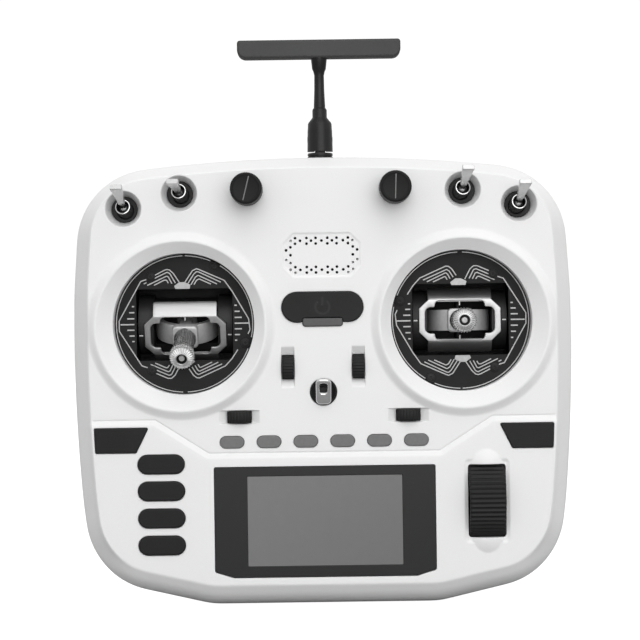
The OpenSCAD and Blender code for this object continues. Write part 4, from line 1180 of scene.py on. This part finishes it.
def build_antenna():
    stand = move(0, ANTENNA_Y, 0)
    pivot = move(0, ANTENNA_Y, FOLD_Z)
    base = Part()
    low = CASE_H + 0.2
    collar = [(4.7, 0), (5.0, 0.15), (5.1, 0.4), (5.1, 1.0), (4.8, 1.15), (4.8, 1.35), (5.1, 1.5),
              (5.1, 2.2), (4.95, 2.45), (4.6, 2.5)]
    base.add(lathe([(r, low + h) for r, h in collar], 72), stand)
    base.add(slab(rrect(4.2, 7.2, 0.4), low + 2.4, FOLD_Z + 0.5, 0, 0.2), stand)
    base.add(slab(circle(0, 0, 3.6, 48), -2.1, 2.1, 0.2, 0.2), pivot @ rotate(90, "Y"))
    base.build("antenna_foot", MAST, "antenna_base", "antenna_base")
    bar = rounded([(-33.2, 0), (33.2, 0), (33.2, 7.4), (-33.2, 7.4)], (3.5, 3.5, 1.2, 1.2), 8)
    head = Part().add(slab(resample(bar, 4), -3.6, 3.6, 0.9, 0.9, 5), face(0, HEAD_Z, -FACE_D - ANTENNA_Y))
    head.build("antenna_bar", HEAD, "antenna", "antenna_head")
    mast = Part()
    barrel = [(4.82, 14.6), (4.6, 15.2), (3.2, 16.9), (2.95, 17.4), (2.95, 20.3), (2.75, 20.7), (2.35, 21.2)]
    stem = [(2.05, 20), (1.98, 14), (2.35, 12.3), (2.8, 11.4), (3.3, 6.8)]
    mast.add(lathe([(4.95, FOLD_Z + 3.9)] + [(r, CASE_H + h) for r, h in barrel]
                   + [(r, MAST_TOP - d) for r, d in stem], 72), stand)
    mast.add(slab(circle(0, 0, 1.3, 32), -5.12, 5.12, 0.15, 0.15), pivot @ rotate(90, "Y"))
    gap = math.degrees(math.asin(2.3 / 5))
    slot = [(2.3, 2), (2.3, 0), (2.3, -2), (2.3, -3.75), (-2.3, -3.75), (-2.3, -2), (-2.3, 0), (-2.3, 2)]
    skirt = join(arc(0, 0, 5, 90 + gap, 450 - gap, 60), slot)
    verts, faces = plate(skirt, [], -4.9, 3.95, 0)
    spread = 1 + 0.035 * (4 - verts[:, 2:]) / 8.9
    verts[:, :2] *= np.where(np.hypot(verts[:, :1], verts[:, 1:2]) > 4.5, spread, 1)
    round_foot = -np.sqrt(np.maximum(24 - verts[:, 1] ** 2, 0))
    verts[:, 2] = np.where((verts[:, 2] < 0) & (verts[:, 1] > 0), round_foot, verts[:, 2])
    mast.add((verts, faces), pivot)
    mast.build("antenna_tube", MAST, "antenna", "antenna_mast")


build_wheel()
build_antenna()


# ---------- CAD nodes that are shown as they are ----------

CAD_FINISH = {
    "screws": SCREW, "lcd_module": BOARD, "main_board": BOARD, "speaker": SPEAKER, "battery_cells": CELL,
    "gimbal_housings": GIMBAL_BLACK, "gimbal_bearings": STEEL, "gimbal_springs": STEEL,
    "gimbal_sensors": BOARD, "left_yoke_frame": GIMBAL_BLACK, "right_yoke_frame": GIMBAL_BLACK,
    "dial_pots": POT, "wheel_carriage": PLASTIC,
    "antenna_jack": SCREW,
}
for node, mat in CAD_FINISH.items():
    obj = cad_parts[node]
    obj.data.materials.clear()
    obj.data.materials.append(mat)


# ---------- stage, light and camera ----------

def build_stage():
    mesh = bpy.data.meshes.new("floor")
    mesh.from_pydata([(-4, -4, 0), (4, -4, 0), (4, 4, 0), (-4, 4, 0)], [], [(0, 1, 2, 3)])
    new_object("floor", mesh)
    mat = bpy.data.materials.new("paper")
    mat.use_nodes = True
    tree = mat.node_tree
    seen = add_node(tree, "LightPath", {}).outputs["Is Camera Ray"]
    wire(tree, tree.nodes["Principled BSDF"], {
        "Base Color": (0.33, 0.33, 0.33, 1), "Roughness": 0.9, "Emission Color": (1, 1, 1, 1),
        "Emission Strength": seen})
    mesh.materials.append(mat)


def build_world():
    """A white backdrop for the camera, and a soft grey dome that lights the object."""
    world = bpy.data.worlds.new("studio")
    bpy.context.scene.world = world
    world.use_nodes = True
    tree = world.node_tree
    tree.nodes.clear()

    coords = add_node(tree, "TexCoord", {})
    split = add_node(tree, "SeparateXYZ", {0: coords.outputs["Generated"]})
    ramp = add_node(tree, "ValToRGB", {0: remap(tree, split.outputs["Z"], -1, 1, 0, 1)})
    stops = ((0.0, 0.5), (0.4, 0.7), (0.5, 0.8), (0.65, 0.9), (1.0, 0.8))
    while len(ramp.color_ramp.elements) < len(stops):
        ramp.color_ramp.elements.new(0.5)
    for element, (at, value) in zip(ramp.color_ramp.elements, stops):
        element.position = at
        element.color = (value, value, value, 1)
    soft = add_node(tree, "Background", {"Color": ramp.outputs["Color"],
                                         "Strength": remap(tree, split.outputs["Y"], -1, 0.3, 0.9, 0.92)})
    white = add_node(tree, "Background", {"Color": (1, 1, 1, 1), "Strength": 1.05})
    seen = add_node(tree, "LightPath", {}).outputs["Is Camera Ray"]
    mix = add_node(tree, "MixShader", {0: seen, 1: soft.outputs[0], 2: white.outputs[0]})
    add_node(tree, "OutputWorld", {"Surface": mix.outputs[0]})


def lamp(name, place, target, size, power):
    data = bpy.data.lights.new(name, "AREA")
    data.shape = "RECTANGLE"
    data.size, data.size_y = size
    data.energy = power
    obj = new_object(name, data)
    obj.location = place
    aim = Vector(target) - Vector(place)
    obj.rotation_euler = aim.to_track_quat("-Z", "Y").to_euler()


def build_camera():
    data = bpy.data.cameras.new("camera")
    data.sensor_width = 36
    data.lens = 100.7
    camera = new_object("camera", data)
    camera.location = (-0.001, -0.720, 0.113)
    camera.rotation_euler = (math.radians(90), math.radians(0.8), 0)
    bpy.context.scene.camera = camera


build_stage()
build_world()
lamp("key", (0.10, -0.75, 1.05), (0, 0, 0.11), (1.0, 0.8), 3.2)
lamp("front", (0.25, -1.3, 0.35), (0, 0, 0.10), (1.2, 1.0), 6.9)
build_camera()
bpy.context.scene.view_settings.view_transform = "Standard"
